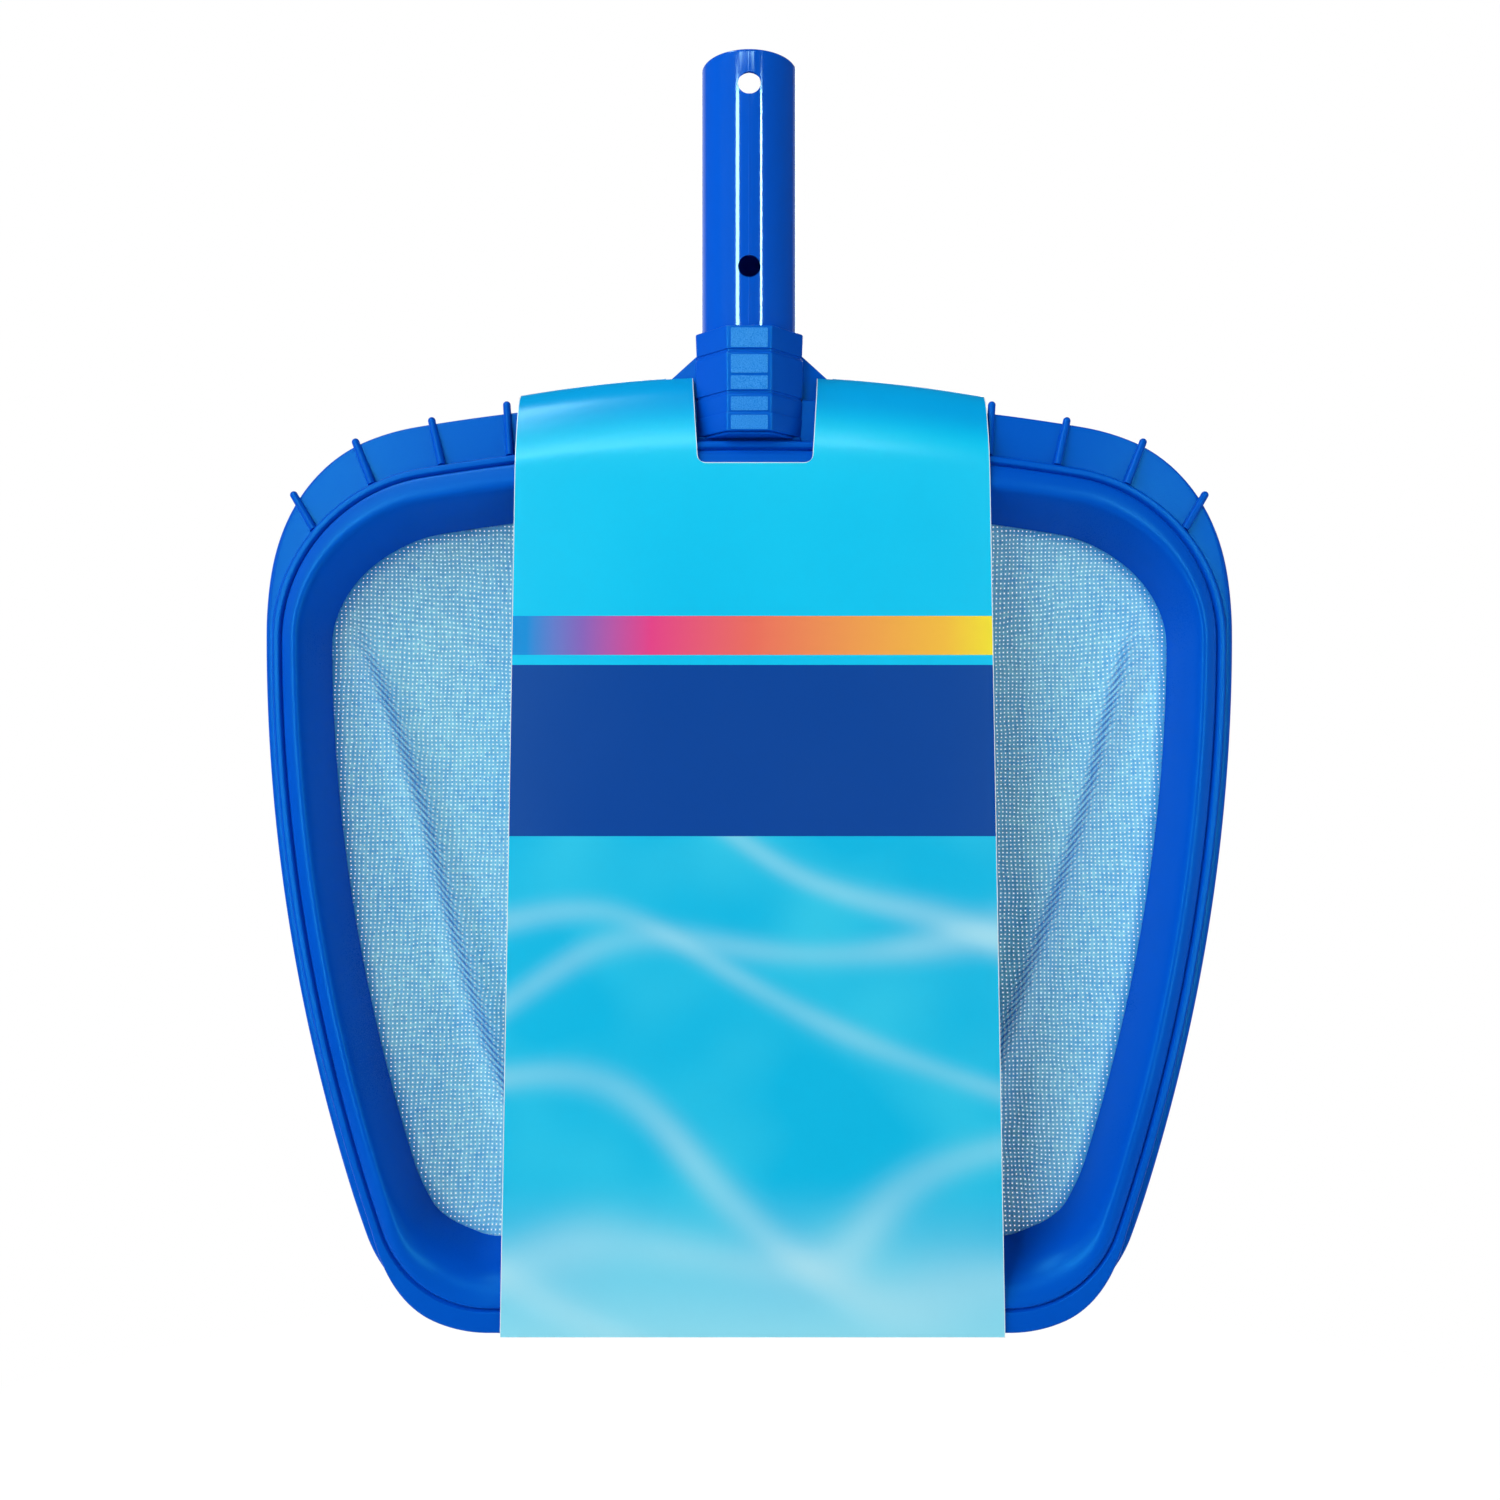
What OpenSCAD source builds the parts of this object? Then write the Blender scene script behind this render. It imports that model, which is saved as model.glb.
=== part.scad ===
// Leaf skimmer head: a shallow net in a moulded frame on a hollow pole spigot,
// with its paperboard sleeve. The origin is on the handle's axis at the foot of the
// tube's straight wall. +Z runs up the handle and -Y faces the open side of the net.
// The head has its own axes: x across, t into the depth behind the crest, v up.

/* [Handle] */
// Outside diameter of the handle tube, which slides into a pool pole
tube_d = 28.8; // [27:0.1:30]
// Wall of the handle tube
tube_wall = 2.3; // [1.8:0.1:3]
// Free length of the tube's straight wall
tube_free = 81.5; // [70:0.5:110]
// Chamfer on the tube's rim
rim_chamfer = 0.7; // [0.3:0.1:1.2]
// Diameter of the clip holes
clip_d = 6.5; // [5:0.1:8]
// Height of the lower clip holes above the collar
clip_low = 17.4; // [12:0.1:24]
// Distance of the upper clip holes below the rim
clip_drop = 10.5; // [8:0.1:14]

/* [Collar] */
// Wall of the octagonal collar at its flats
collar_wall = 1.25; // [1.1:0.05:3]
// Heights of the collar's three tiers, from the top down
collar_tiers = [7.5, 12.2, 11]; // [6:0.1:14]
// Rise of the tube's thicker foot above the collar's shoulder
foot_rise = 0.3; // [0.3:0.1:2]
// Step from the tube's straight wall out to its thicker foot
foot_step = 0.2; // [0.1:0.05:0.3]
// Amount by which each tier narrows towards its foot, per side
tier_taper = 0.25; // [0.1:0.05:0.4]
// Depth of the undercut between two tiers
undercut = 0.35; // [0.2:0.05:0.5]
// Height of the undercut between two tiers
undercut_h = 0.8; // [0.5:0.1:1.2]

/* [Mouth outline] */
// Drop from the collar's foot to the groove at the middle of the crown
crown_drop = 4.5; // [3.6:0.1:14]
// Radius of the crown, the nearly straight top stretch
crown_r = 561; // [450:1:700]
// Angle that the crown turns through on each side
crown_turn = 9.9; // [8:0.1:11]
// Radius of the two upper corners
shoulder_r = 47.7; // [42:0.1:56]
// Angle that each upper corner turns through
shoulder_turn = 82.2; // [80:0.1:84]
// Radius of the two long sides
flank_r = 528; // [480:1:580]
// Angle that each side turns through
flank_turn = 18.5; // [17:0.1:20]
// Radius of the two lower corners
heel_r = 32.5; // [26:0.5:40]

/* [Head] */
// Lean of the head, its foot forward, from the handle's axis
head_lean = 5.5; // [3:0.5:8]
// Distance of the crest's plane ahead of the handle's axis, at the collar's shoulder
head_set = 9.3; // [8:0.1:11]
// Depth from the crest to the foot of the inner wall
mouth_depth = 16; // [13:0.5:18]

/* [Front ring] */
// Wall of the ring
ring_wall = 1.8; // [1.4:0.1:2]
// Width of the border outside the groove
border_w = 2.9; // [2.4:0.1:3.4]
// Width of the spatula lip outside the groove
lip_w = 6.2; // [5.4:0.1:9]
// Distance of the crest inside the groove: at the crown, flank and toe
crest_in = [6.3, 4, 1.4]; // [1:0.1:8]
// Distance of the wall's foot inside the groove: at the crown, flank and toe
foot_in = [13.8, 10.4, 16.2]; // [9:0.1:20]
// Depth of the groove's floor below the crest
groove_t = 2; // [1.6:0.1:2.4]

/* [Rear frame] */
// Wall of the rear frame
frame_wall = 1.9; // [1.5:0.1:2.2]
// Width of the ribbed flange outside the groove
flange_w = 16.7; // [14:0.1:19]
// Width of the edge band down the sides, outside the groove
band_w = 5.5; // [4.8:0.1:7]
// Depth of the edge band's skirt below the crest
skirt_t = 10; // [8:0.5:13]
// Ribs on the flange, each side
rib_count = 6; // [2:1:7]
// Distance of the first rib from the middle, along the groove
rib_first = 30; // [29:0.5:36]
// Distance from rib to rib, along the groove
rib_pitch = 20.3; // [15:0.05:20.5]
// Angle by which each of the outer ribs fans out from the one before it
rib_fan = 8.8; // [6:0.1:10]
// Width of a rib
rib_w = 2.3; // [1.6:0.1:3]
// Reach of a rib's round tip past the flange's edge
rib_over = 1.5; // [0.5:0.1:2.5]
// Thickness of the neck's gusset plates
gusset_t = 3; // [2:0.1:4]

/* [Net] */
// Thickness of the net's solid
net_t = 0.6; // [0.4:0.05:0.8]
// Depth that the net sags behind the wall's foot
net_sag = 9; // [5:0.5:10]
// Depth of the net's two main folds
fold_t = 2.2; // [1:0.1:3]
// Half width of a fold
fold_w = 9; // [6:0.5:14]

/* [Card sleeve] */
// Width of the sleeve
card_w = 139; // [110:1:160]
// Thickness of the paperboard
card_t = 0.5; // [0.4:0.05:0.7]
// Offset of the sleeve to the right of the handle's axis
card_shift = 0.9; // [-2:0.1:2]
// Width of the handle window at its foot, on the front
window_w = 33.4; // [33:0.2:40]
// Depth of the window's foot below the groove's crown on the front
window_drop = 4.6; // [3:0.2:8]
// Radius of the window's lower corners
window_r = 2.4; // [1:0.1:4]

/* [Fits] */
// Clearance between the ring and the rear frame, and round the neck
fit = 0.3; // [0.2:0.05:0.4]
// Clearance between the tube and the collar's bore, per side
tube_fit = 0.15; // [0.1:0.05:0.3]
// Clearance on each face of the net's hem
hem_fit = 0.1; // [0.05:0.05:0.2]

/* [Hidden] */
$fn = 72;

blue = [0.01, 0.40, 0.84];
deep_blue = [0.01, 0.33, 0.76];
net_blue = [0.55, 0.76, 0.89];
card_cyan = [0.03, 0.79, 0.96];

// ---- The outline: a chain of tangent arcs from the crown's middle round to the toe.
// A station is [x, v, heading, length run], its outward normal [sin, cos] of the heading.
heel_turn = 180 - crown_turn - shoulder_turn - flank_turn;
steps = [6, 14, 11, 11, 3];

function arc_at(from, r, turn) = [
    from[0] + r * (sin(from[2] + turn) - sin(from[2])),
    from[1] + r * (cos(from[2] + turn) - cos(from[2])),
    from[2] + turn,
    from[3] + r * turn * PI / 180
];
function arc(from, r, turn, n) = [for (k = [0:n - 1]) arc_at(from, r, turn * k / n)];

// Depth of the collar's foot below the origin
collar_h = foot_rise + collar_tiers[0] + collar_tiers[1] + collar_tiers[2];
crown_v = -collar_h - crown_drop;
crown_from = [0, crown_v, 0, 0];
shoulder_from = arc_at(crown_from, crown_r, crown_turn);
flank_from = arc_at(shoulder_from, shoulder_r, shoulder_turn);
heel_from = arc_at(flank_from, flank_r, flank_turn);
toe_from = arc_at(heel_from, heel_r, heel_turn);
toe_l = toe_from[0];
toe_v = toe_from[1];

half = concat(
    arc(crown_from, crown_r, crown_turn, steps[0]),
    arc(shoulder_from, shoulder_r, shoulder_turn, steps[1]),
    arc(flank_from, flank_r, flank_turn, steps[2]),
    arc(heel_from, heel_r, heel_turn, steps[3]),
    [for (k = [0:steps[4]]) let (run = toe_l * k / steps[4]) [toe_l - run, toe_v, 180, toe_from[3] + run]]
);
last = len(half) - 1;
// The whole outline: the right half going down, then the left half coming up, each with its side.
stations = concat(
    [for (st = half) concat(st, 1)],
    [for (k = [1:last - 1]) concat(half[last - k], -1)]
);

// A point of a station's section, u outside the groove and t behind the crest's plane
function place(st, u, t) = [st[4] * (st[0] + u * sin(st[2])), t, st[1] + u * cos(st[2])];

// A point on the groove at a given length from the crown's middle, for the crown and shoulder
function upper_at(s) =
    s < shoulder_from[3]
        ? arc_at(crown_from, crown_r, s / crown_r * 180 / PI)
        : arc_at(shoulder_from, shoulder_r, (s - shoulder_from[3]) / shoulder_r * 180 / PI);

// ---- How the sections change along the outline
function ease(a, b, s) = let (k = min(1, max(0, (s - a) / (b - a)))) k * k * (3 - 2 * k);
flank_fade = 0.17;
wall_fade = 13.6;
lip_fade = 2.6;
toe_fade = 0.67;
shoulder_l = flank_from[3] - shoulder_from[3];
heel_l = toe_from[3] - heel_from[3];
function to_flank(s) = ease(shoulder_from[3] + flank_fade * shoulder_l, flank_from[3], s);
function to_toe(s) = ease(heel_from[3] - wall_fade, heel_from[3] + toe_fade * heel_l, s);
function to_lip(s) = ease(heel_from[3] - lip_fade, heel_from[3] + toe_fade * heel_l, s);
// A size given at the crown, flank and toe, taken at length s
function along(three, s) = three[0] + (three[1] - three[0]) * to_flank(s) + (three[2] - three[1]) * to_toe(s);

// ---- The inner wall, which the ring and the rear frame share at different offsets
crest_t = [0, 0, 0.45];
bend_u = [1.8, 1.8, 11];
bend_t = [2.4, 2.4, 12];
bend_turn = [70, 70, 58];
least_bend = 0.3;
// A point on the bend from crest to wall, d behind the front surface, at share k of its turn
function bend(s, d, k) =
    let (
        a = k * along(bend_turn, s),
        u = along(bend_u, s),
        t = along(bend_t, s),
        ru = max(least_bend, u - d),
        rt = max(least_bend, t - d)
    )
    [-along(crest_in, s) - u + d + ru - ru * sin(a), along(crest_t, s) + d + rt - rt * cos(a)];
// Distance across the wall's foot that an offset of d takes
function foot_across(s, d) =
    let (top = bend(s, 0, 1), run = [top[0] + along(foot_in, s), mouth_depth - top[1]])
    d * norm(run) / run[1];

// ---- Front ring
border_t = 1;
lip_t = 0.5;
border_round = 0.5;
groove_half = 0.7;
ring_back = [3.2, 2.6];
lip_edge_t = 1.7;
function ring_back_t(s) = ring_back[0] + (ring_back[1] - ring_back[0]) * to_lip(s);

function ring_section(s) =
    let (
        edge = border_w + (lip_w - border_w) * to_lip(s),
        face = border_t + (lip_t - border_t) * to_lip(s),
        back = ring_back_t(s),
        edge_back = back + (lip_edge_t - back) * to_lip(s),
        crest = -along(crest_in, s),
        top = along(crest_t, s),
        foot = -along(foot_in, s)
    )
    concat(
        [
            [edge, edge_back],
            [edge, face + border_round],
            [edge - border_round, face],
            [groove_half + 0.6, face],
            [groove_half, face + 0.15],
            [0, groove_t - border_t + face],
            [-groove_half, face + 0.1]
        ],
        [for (k = [1:3]) [-groove_half + (crest + groove_half) * k / 3, face + (top - face) * sin(30 * k)]],
        [for (k = [1:3]) bend(s, 0, k / 3)],
        [
            [foot, mouth_depth],
            [foot + foot_across(s, ring_wall), mouth_depth]
        ],
        [for (k = [3:-1:1]) bend(s, ring_wall, k / 3)],
        [
            [-groove_half - 0.5, back],
            [border_w - 0.3, back]
        ]
    );

// ---- Rear frame
flange_t = 4.9;
edge_front = [flange_t, 3.7, 3.5];
edge_round = [0.8, 2.3, 1.2];
edge_back = [flange_t + 2.6, skirt_t, 8.5];
edge_out = [flange_w, band_w, 4.6];
hem_gap = net_t + 2 * hem_fit;
foot_top = mouth_depth + hem_gap;
foot_bottom = foot_top + frame_wall;

function frame_section(s) =
    let (
        out = along(edge_out, s),
        front = along(edge_front, s),
        r = along(edge_round, s),
        low = along(edge_back, s),
        ledge = ring_back_t(s) + fit,
        d = ring_wall + fit,
        foot = -along(foot_in, s)
    )
    concat(
        [
            [out - 0.5, low],
            [out, low - 0.5],
            [out, front + r],
            [out - 0.3 * r, front + 0.3 * r],
            [out - r, front],
            [min(border_w + fit, out - r - 0.3), ledge],
            [-groove_half - 0.5 - fit, ledge]
        ],
        [for (k = [1:3]) bend(s, d, k / 3)],
        [
            [foot + foot_across(s, d), foot_top],
            [foot + fit, foot_top],
            [foot + fit, foot_bottom],
            [foot + foot_across(s, d + frame_wall), foot_bottom]
        ],
        [for (k = [3:-1:1]) bend(s, d + frame_wall, k / 3)],
        [
            [0, ledge + frame_wall],
            [out - frame_wall - 0.2, max(front + frame_wall, ledge + frame_wall)],
            [out - frame_wall, low]
        ]
    );

// A closed band lofted through one section at every station
module loft(sections) {
    m = len(sections);
    n = len(sections[0]);
    points = [for (j = [0:m - 1], p = sections[j]) place(stations[j], p[0], p[1])];
    faces = [
        for (j = [0:m - 1], i = [0:n - 1])
            let (a = j * n + i, b = j * n + (i + 1) % n, e = (j + 1) % m * n)
                each [[a, e + (i + 1) % n, b], [a, e + i, e + (i + 1) % n]]
    ];
    polyhedron(points, faces);
}

// Moves a shape from the head's axes to the part's
module head() {
    translate([0, -head_set, 0]) rotate([-head_lean, 0, 0]) children();
}

// Extrudes an outline drawn in x and v from depth t0 to depth t1, in the head's axes
module through(t0, t1) {
    translate([0, t1, 0]) rotate([90, 0, 0]) linear_extrude(t1 - t0) children();
}

// An octagonal prism with a flat to the front
module octagon(across, h) {
    rotate([0, 0, 22.5]) cylinder(d = across / cos(22.5), h = h, $fn = 8);
}

// ---- Neck and gussets
foot_d = tube_d + 2 * foot_step;
collar_af = foot_d + 2 * (tube_fit + collar_wall);
tube_bore = tube_d - 2 * tube_wall;
// The frame's spigot sits in a socket at the tube's foot, a little wider than the bore
socket_step = 0.2;
socket_d = tube_bore + 2 * socket_step;
spigot_h = 24;
spigot_d = socket_d - 2 * fit;
neck_plate = 1;
neck_foot_w = 20;
neck_foot_v = crown_v - 9;
gusset_from = 6.7;
gusset_w = 16;
gusset_front = flange_t + frame_wall - 0.2;
gusset_foot = [4, 6];

// One rib: a rod half sunk in the flange, from the ring's border out past the edge
module rib(k, side) {
    s = rib_first + rib_pitch * k;
    st = concat(upper_at(s), 1);
    fan = max(0, 5.3 + rib_fan * (k - 2));
    from_u = border_w + fit + 0.1;
    edge = along(edge_out, s);
    reach = (edge - from_u + rib_over - rib_w / 2) / cos(st[2] - fan);
    from = place(st, from_u, ring_back_t(s) + fit);
    tip = from + [reach * sin(fan), along(edge_front, s) - ring_back_t(s) - fit + 0.3, reach * cos(fan)];
    scale([side, 1, 1])
        hull() {
            translate(from) rotate([0, fan, 0]) rotate([0, 0, 10]) cylinder(d = rib_w, h = 0.1, $fn = 10);
            translate(tip) rotate([0, fan, 0]) rotate([0, 0, 10]) sphere(d = rib_w, $fn = 10);
        }
}

// The neck behind the ring: a fairing from the collar's foot down to the frame's back
module neck() {
    hull() {
        intersection() {
            translate([0, 0, -collar_h - neck_plate]) octagon(collar_af - 1, neck_plate);
            head() translate([-collar_af, ring_back[0] + fit + 0.5, -3 * collar_h])
                cube([2 * collar_af, 2 * collar_af, 4 * collar_h]);
        }
        head() translate([-neck_foot_w / 2, mouth_depth - 1, neck_foot_v])
            cube([neck_foot_w, foot_bottom - mouth_depth + 1, neck_plate]);
    }
    translate([0, 0, -collar_h - 0.9 * neck_plate]) octagon(collar_af - 1.6, 0.85 * neck_plate);
    translate([0, 0, -collar_h - neck_plate / 2])
        cylinder(d = spigot_d, h = spigot_h + neck_plate / 2, $fn = 36);
}

// The gusset plates beside the collar, with their 45 degree shoulders
module gussets() {
    near = collar_af / 2 - 1;
    far = collar_af / 2 + gusset_w;
    for (side = [-1, 1])
        head() through(gusset_front, gusset_front + gusset_t)
            polygon([
                [side * near, -gusset_from],
                [side * far, -gusset_from - gusset_w],
                [side * far, crown_v + gusset_foot[1]],
                [side * near, crown_v + gusset_foot[0]]
            ]);
}

module rear_frame() {
    color(blue) {
        difference() {
            union() {
                head() loft([for (st = stations) frame_section(st[3])]);
                gussets();
            }
            translate([0, 0, -collar_h]) octagon(collar_af + 2 * fit, 2 * collar_h);
        }
        neck();
        head() for (side = [-1, 1], k = [0:rib_count - 1]) rib(k, side);
    }
}

module front_ring() {
    color(blue) head() loft([for (st = stations) ring_section(st[3])]);
}

// ---- Net
net_middle = [0, (crown_v + toe_v) / 2 - 2];
net_shares = [0, 0.05, 0.1, 0.155, 0.215, 0.285, 0.4, 0.57, 0.78];
// Each fold runs from an upper corner down to the toe: [x, v] at its two ends
fold_ends = [[flank_from[0] - 16, flank_from[1] + 15], [toe_l - 12, toe_v + 22]];

function fold(x, v) =
    let (
        a = fold_ends[0],
        way = fold_ends[1] - a,
        p = [abs(x), v] - a,
        run = p * way / (way * way),
        off = abs(p[0] * way[1] - p[1] * way[0]) / norm(way),
        fade = ease(0, 0.15, run) * (1 - ease(0.8, 1, run))
    )
    off < fold_w ? fade * (0.5 + 0.5 * cos(180 * off / fold_w)) : 0;
function sag(k, x, v) = net_sag * (1 - pow(1 - k, 4)) - fold_t * fold(x, v);

net_sides = [for (k = [0:2:len(stations) - 1]) stations[k]];
net_rings = concat(
    [
        for (w = [foot_across(0, ring_wall) - 0.2])
            [for (st = net_sides) place(st, w - along(foot_in, st[3]), mouth_depth + hem_fit)]
    ],
    [
        for (k = net_shares) [
            for (st = net_sides)
                let (
                    e = place(st, -along(foot_in, st[3]), 0),
                    x = e[0] * (1 - k) + net_middle[0] * k,
                    v = e[2] * (1 - k) + net_middle[1] * k
                )
                [x, mouth_depth + hem_fit + sag(k, x, v), v]
        ]
    ]
);

module net() {
    m = len(net_rings);
    n = len(net_sides);
    front = [for (ring = net_rings, p = ring) p];
    mid = [[net_middle[0], mouth_depth + hem_fit + sag(1, net_middle[0], net_middle[1]), net_middle[1]]];
    skin = concat(front, mid);
    points = concat(skin, [for (p = skin) p + [0, net_t, 0]]);
    c = m * n;
    back = c + 1;
    faces = concat(
        [
            for (j = [0:m - 2], i = [0:n - 1])
                let (a = j * n + i, b = j * n + (i + 1) % n, e = a + n, f = b + n, k = back)
                    each [[a, b, f], [a, f, e], [a + k, f + k, b + k], [a + k, e + k, f + k]]
        ],
        [
            for (i = [0:n - 1])
                let (a = (m - 1) * n + i, b = (m - 1) * n + (i + 1) % n)
                    each [[a, b, c], [a + back, c + back, b + back]]
        ],
        [for (i = [0:n - 1]) let (a = i, b = (i + 1) % n) each [[a, b + back, b], [a, a + back, b + back]]]
    );
    color(net_blue) head() polyhedron(points, faces);
}

// ---- Handle
module handle_tube() {
    color(blue) difference() {
        union() {
            translate([0, 0, -collar_h]) cylinder(d = foot_d, h = collar_h);
            translate([0, 0, -collar_h]) cylinder(d = tube_d, h = collar_h + tube_free - rim_chamfer);
            translate([0, 0, tube_free - rim_chamfer])
                cylinder(d1 = tube_d, d2 = tube_d - 2 * rim_chamfer, h = rim_chamfer);
        }
        translate([0, 0, -collar_h - 1]) cylinder(d = tube_bore, h = collar_h + tube_free + 2);
        translate([0, 0, -collar_h - 1]) cylinder(d = socket_d, h = spigot_h + fit + 1);
        for (z = [clip_low, tube_free - clip_drop])
            translate([0, tube_d, z]) rotate([90, 0, 0]) cylinder(d = clip_d, h = 2 * tube_d);
    }
}

// One tier of the collar: an octagon that narrows to its foot, over an undercut
tier_edge = 0.8;
last_step = 0.2;
module tier(top, h, across) {
    turn = 22.5;
    rotate([0, 0, turn]) {
        translate([0, 0, top - tier_edge])
            cylinder(d1 = across / cos(turn), d2 = (across - tier_edge) / cos(turn), h = tier_edge, $fn = 8);
        translate([0, 0, top - h + undercut_h])
            cylinder(
                d1 = (across - 2 * tier_taper) / cos(turn),
                d2 = across / cos(turn),
                h = h - tier_edge - undercut_h,
                $fn = 8
            );
    }
    translate([0, 0, top - h - 0.05]) octagon(across - 2 * tier_taper - 2 * undercut, undercut_h + 0.1);
}

module collar() {
    color(deep_blue) difference() {
        union() {
            tier(-foot_rise, collar_tiers[0], collar_af);
            tier(-foot_rise - collar_tiers[0], collar_tiers[1], collar_af);
            tier(-collar_h + collar_tiers[2], collar_tiers[2] / 2, collar_af - 2 * last_step);
            translate([0, 0, -collar_h]) octagon(collar_af, collar_tiers[2] / 2);
        }
        translate([0, 0, -collar_h - 1]) cylinder(d = foot_d + 2 * tube_fit, h = collar_h + 2);
    }
}

// ---- Card sleeve: a closed band round the head, drawn in t and v and swept across x
card_gap = 0.3;
card_columns = 12;
card_cuts = 2;
window_flare = 1.85;
window_shift = 1.7;
window_top = 30;
rear_window_drop = 12;
// Half width of the window behind the handle, and the depth where the front window ends
strap_gap = 9;
strap_in = collar_af / 2 + strap_gap;
strap_t = gusset_front - 0.2;
bow = mouth_depth + hem_gap + net_sag + 4.2;
// Points of the band's outer face: up the front, over the top, down the back and under the lip
card_guides = [
    [-card_gap - card_t, crown_v - 6],
    [-card_gap - card_t + 0.3, crown_v + 2],
    [1, crown_v + 11.4],
    [3.6, crown_v + 20],
    [7.6, crown_v + 24.6],
    [12, crown_v + 22.9],
    [16.8, crown_v + 13],
    [foot_bottom + 2.2, crown_v - 4],
    [foot_bottom + 5.3, crown_v - 30],
    [bow, crown_v - 110],
    [foot_bottom + 8, toe_v + 46],
    [foot_bottom + 2, toe_v + 13],
    [14, toe_v],
    [9.5, toe_v - lip_w + 0.5],
    [2.4, toe_v - lip_w - 0.6],
    [0, toe_v - lip_w - 0.8],
    [-card_gap - card_t, toe_v - lip_w - 0.5]
];

// A point at share k of the smooth curve's stretch from guide i to the next
function curve(g, i, k) =
    let (a = g[max(0, i - 1)], b = g[i], c = g[i + 1], d = g[min(len(g) - 1, i + 2)])
    b + 0.5 * k * (c - a + k * (2 * a - 5 * b + 4 * c - d + k * (3 * (b - c) + d - a)));
card_line = concat(
    [for (i = [0:len(card_guides) - 2], k = [0:card_cuts - 1]) curve(card_guides, i, k / card_cuts)],
    [card_guides[len(card_guides) - 1]]
);
// The band follows the crown's arc at the top and droops at its ends: its drop fades in above the mouth
card_droop = 1.45;
function crown_fall(x, v) =
    card_droop * (crown_r - sqrt(crown_r * crown_r - x * x)) * ease(crown_v - 35, crown_v + 15, v);
// Point j of the band's line, moved inward by d
function card_point(j, d) =
    let (n = len(card_line), way = card_line[(j + 1) % n] - card_line[(j + n - 1) % n])
    card_line[j] + d / norm(way) * [way[1], -way[0]];

module card_band() {
    n = len(card_line);
    m = card_columns + 1;
    columns = [for (i = [0:card_columns]) card_shift + card_w * (i / card_columns - 0.5)];
    points = [
        for (d = [0, card_t], x = columns, j = [0:n - 1])
            let (p = card_point(j, d)) [x, p[0], p[1] - crown_fall(x, p[1])]
    ];
    inner = m * n;
    faces = concat(
        [
            for (i = [0:m - 2], j = [0:n - 1])
                let (a = i * n + j, b = i * n + (j + 1) % n, e = a + n, f = b + n, c = inner)
                    each [[a, b, f], [a, f, e], [a + c, f + c, b + c], [a + c, e + c, f + c]]
        ],
        [
            for (j = [0:n - 1])
                let (a = j, b = (j + 1) % n, e = (m - 1) * n + j, f = (m - 1) * n + (j + 1) % n, c = inner)
                    each [[a, a + c, b + c], [a, b + c, b], [e, f + c, e + c], [e, f, f + c]]
        ]
    );
    polyhedron(points, faces);
}

// The handle window's front: it flares upward and has round lower corners
module window_front() {
    low = crown_v - window_drop;
    high = window_top;
    flare = window_flare * (high - low - window_r) / (crown_v + 23 - low);
    w = window_w / 2;
    translate([window_shift, 0]) {
        polygon([[-w, low + window_r], [-w - flare, high], [w + flare, high], [w, low + window_r]]);
        translate([-w + window_r, low]) square([window_w - 2 * window_r, window_r + 0.01]);
        for (x = [-w + window_r, w - window_r]) translate([x, low + window_r]) circle(window_r);
    }
}

module card_sleeve() {
    color(card_cyan) head() difference() {
        card_band();
        through(-collar_af, strap_t) window_front();
        through(strap_t - 0.01, bow + collar_af)
            translate([-strap_in, crown_v - rear_window_drop])
                square([2 * strap_in, window_top + rear_window_drop - crown_v]);
    }
}

rear_frame();
front_ring();
net();
handle_tube();
collar();
card_sleeve();
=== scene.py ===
# %% [markdown]
# # A leaf skimmer net, dressed around its CAD frame
# A leaf skimmer is a shallow net in a moulded plastic frame. It slides on the end
# of a pool pole and lifts leaves off the water. This one still wears the printed
# card sleeve that it is sold in.
#
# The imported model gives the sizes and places. Here each piece gets its finished
# surface: finer rounding, moulded plastic, woven mesh and printed card.
# Lengths below are in millimetres, and one factor turns them into metres.

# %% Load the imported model
from math import cos, pi, radians, sin

import bmesh
import bpy
import numpy as np
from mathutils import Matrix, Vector


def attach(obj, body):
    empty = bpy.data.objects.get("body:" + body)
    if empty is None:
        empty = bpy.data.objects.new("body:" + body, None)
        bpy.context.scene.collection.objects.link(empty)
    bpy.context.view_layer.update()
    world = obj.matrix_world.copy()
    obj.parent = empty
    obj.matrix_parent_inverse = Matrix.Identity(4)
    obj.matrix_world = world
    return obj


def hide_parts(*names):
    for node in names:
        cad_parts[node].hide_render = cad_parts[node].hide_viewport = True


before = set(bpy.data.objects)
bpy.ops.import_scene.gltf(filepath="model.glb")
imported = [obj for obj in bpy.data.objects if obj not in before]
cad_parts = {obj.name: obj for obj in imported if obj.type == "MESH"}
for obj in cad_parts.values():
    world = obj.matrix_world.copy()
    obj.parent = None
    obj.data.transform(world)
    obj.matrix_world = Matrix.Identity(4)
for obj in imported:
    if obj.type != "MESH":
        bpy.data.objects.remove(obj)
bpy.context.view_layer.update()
MM = 0.001

# %% [markdown]
# ## Camera first
# The camera decides what has to look right. It stands level in front of the
# middle of the net, close enough that the collar's underside shows.

# %% Camera
CAMERA_PLACE, SENSOR_W, LENS = (0.2, -408.7, -124), 36, 32.4


def show(name, data):
    """An object for a mesh, a lamp or a camera, linked into the scene."""
    thing = bpy.data.objects.new(name, data)
    bpy.context.scene.collection.objects.link(thing)
    return thing


camera_data = bpy.data.cameras.new("camera")
camera_data.sensor_width, camera_data.lens = SENSOR_W, LENS
camera = show("camera", camera_data)
camera.location = Vector(CAMERA_PLACE) * MM
camera.rotation_euler = (pi / 2, 0, 0)
bpy.context.scene.camera = camera
print("camera at", [round(c / MM) for c in camera.location], "mm")

# %% [markdown]
# ## Colours
# Blender's shaders work in linear light, while a paint chip is read in display
# values from 0 to 255. This helper turns one into the other.

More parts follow.
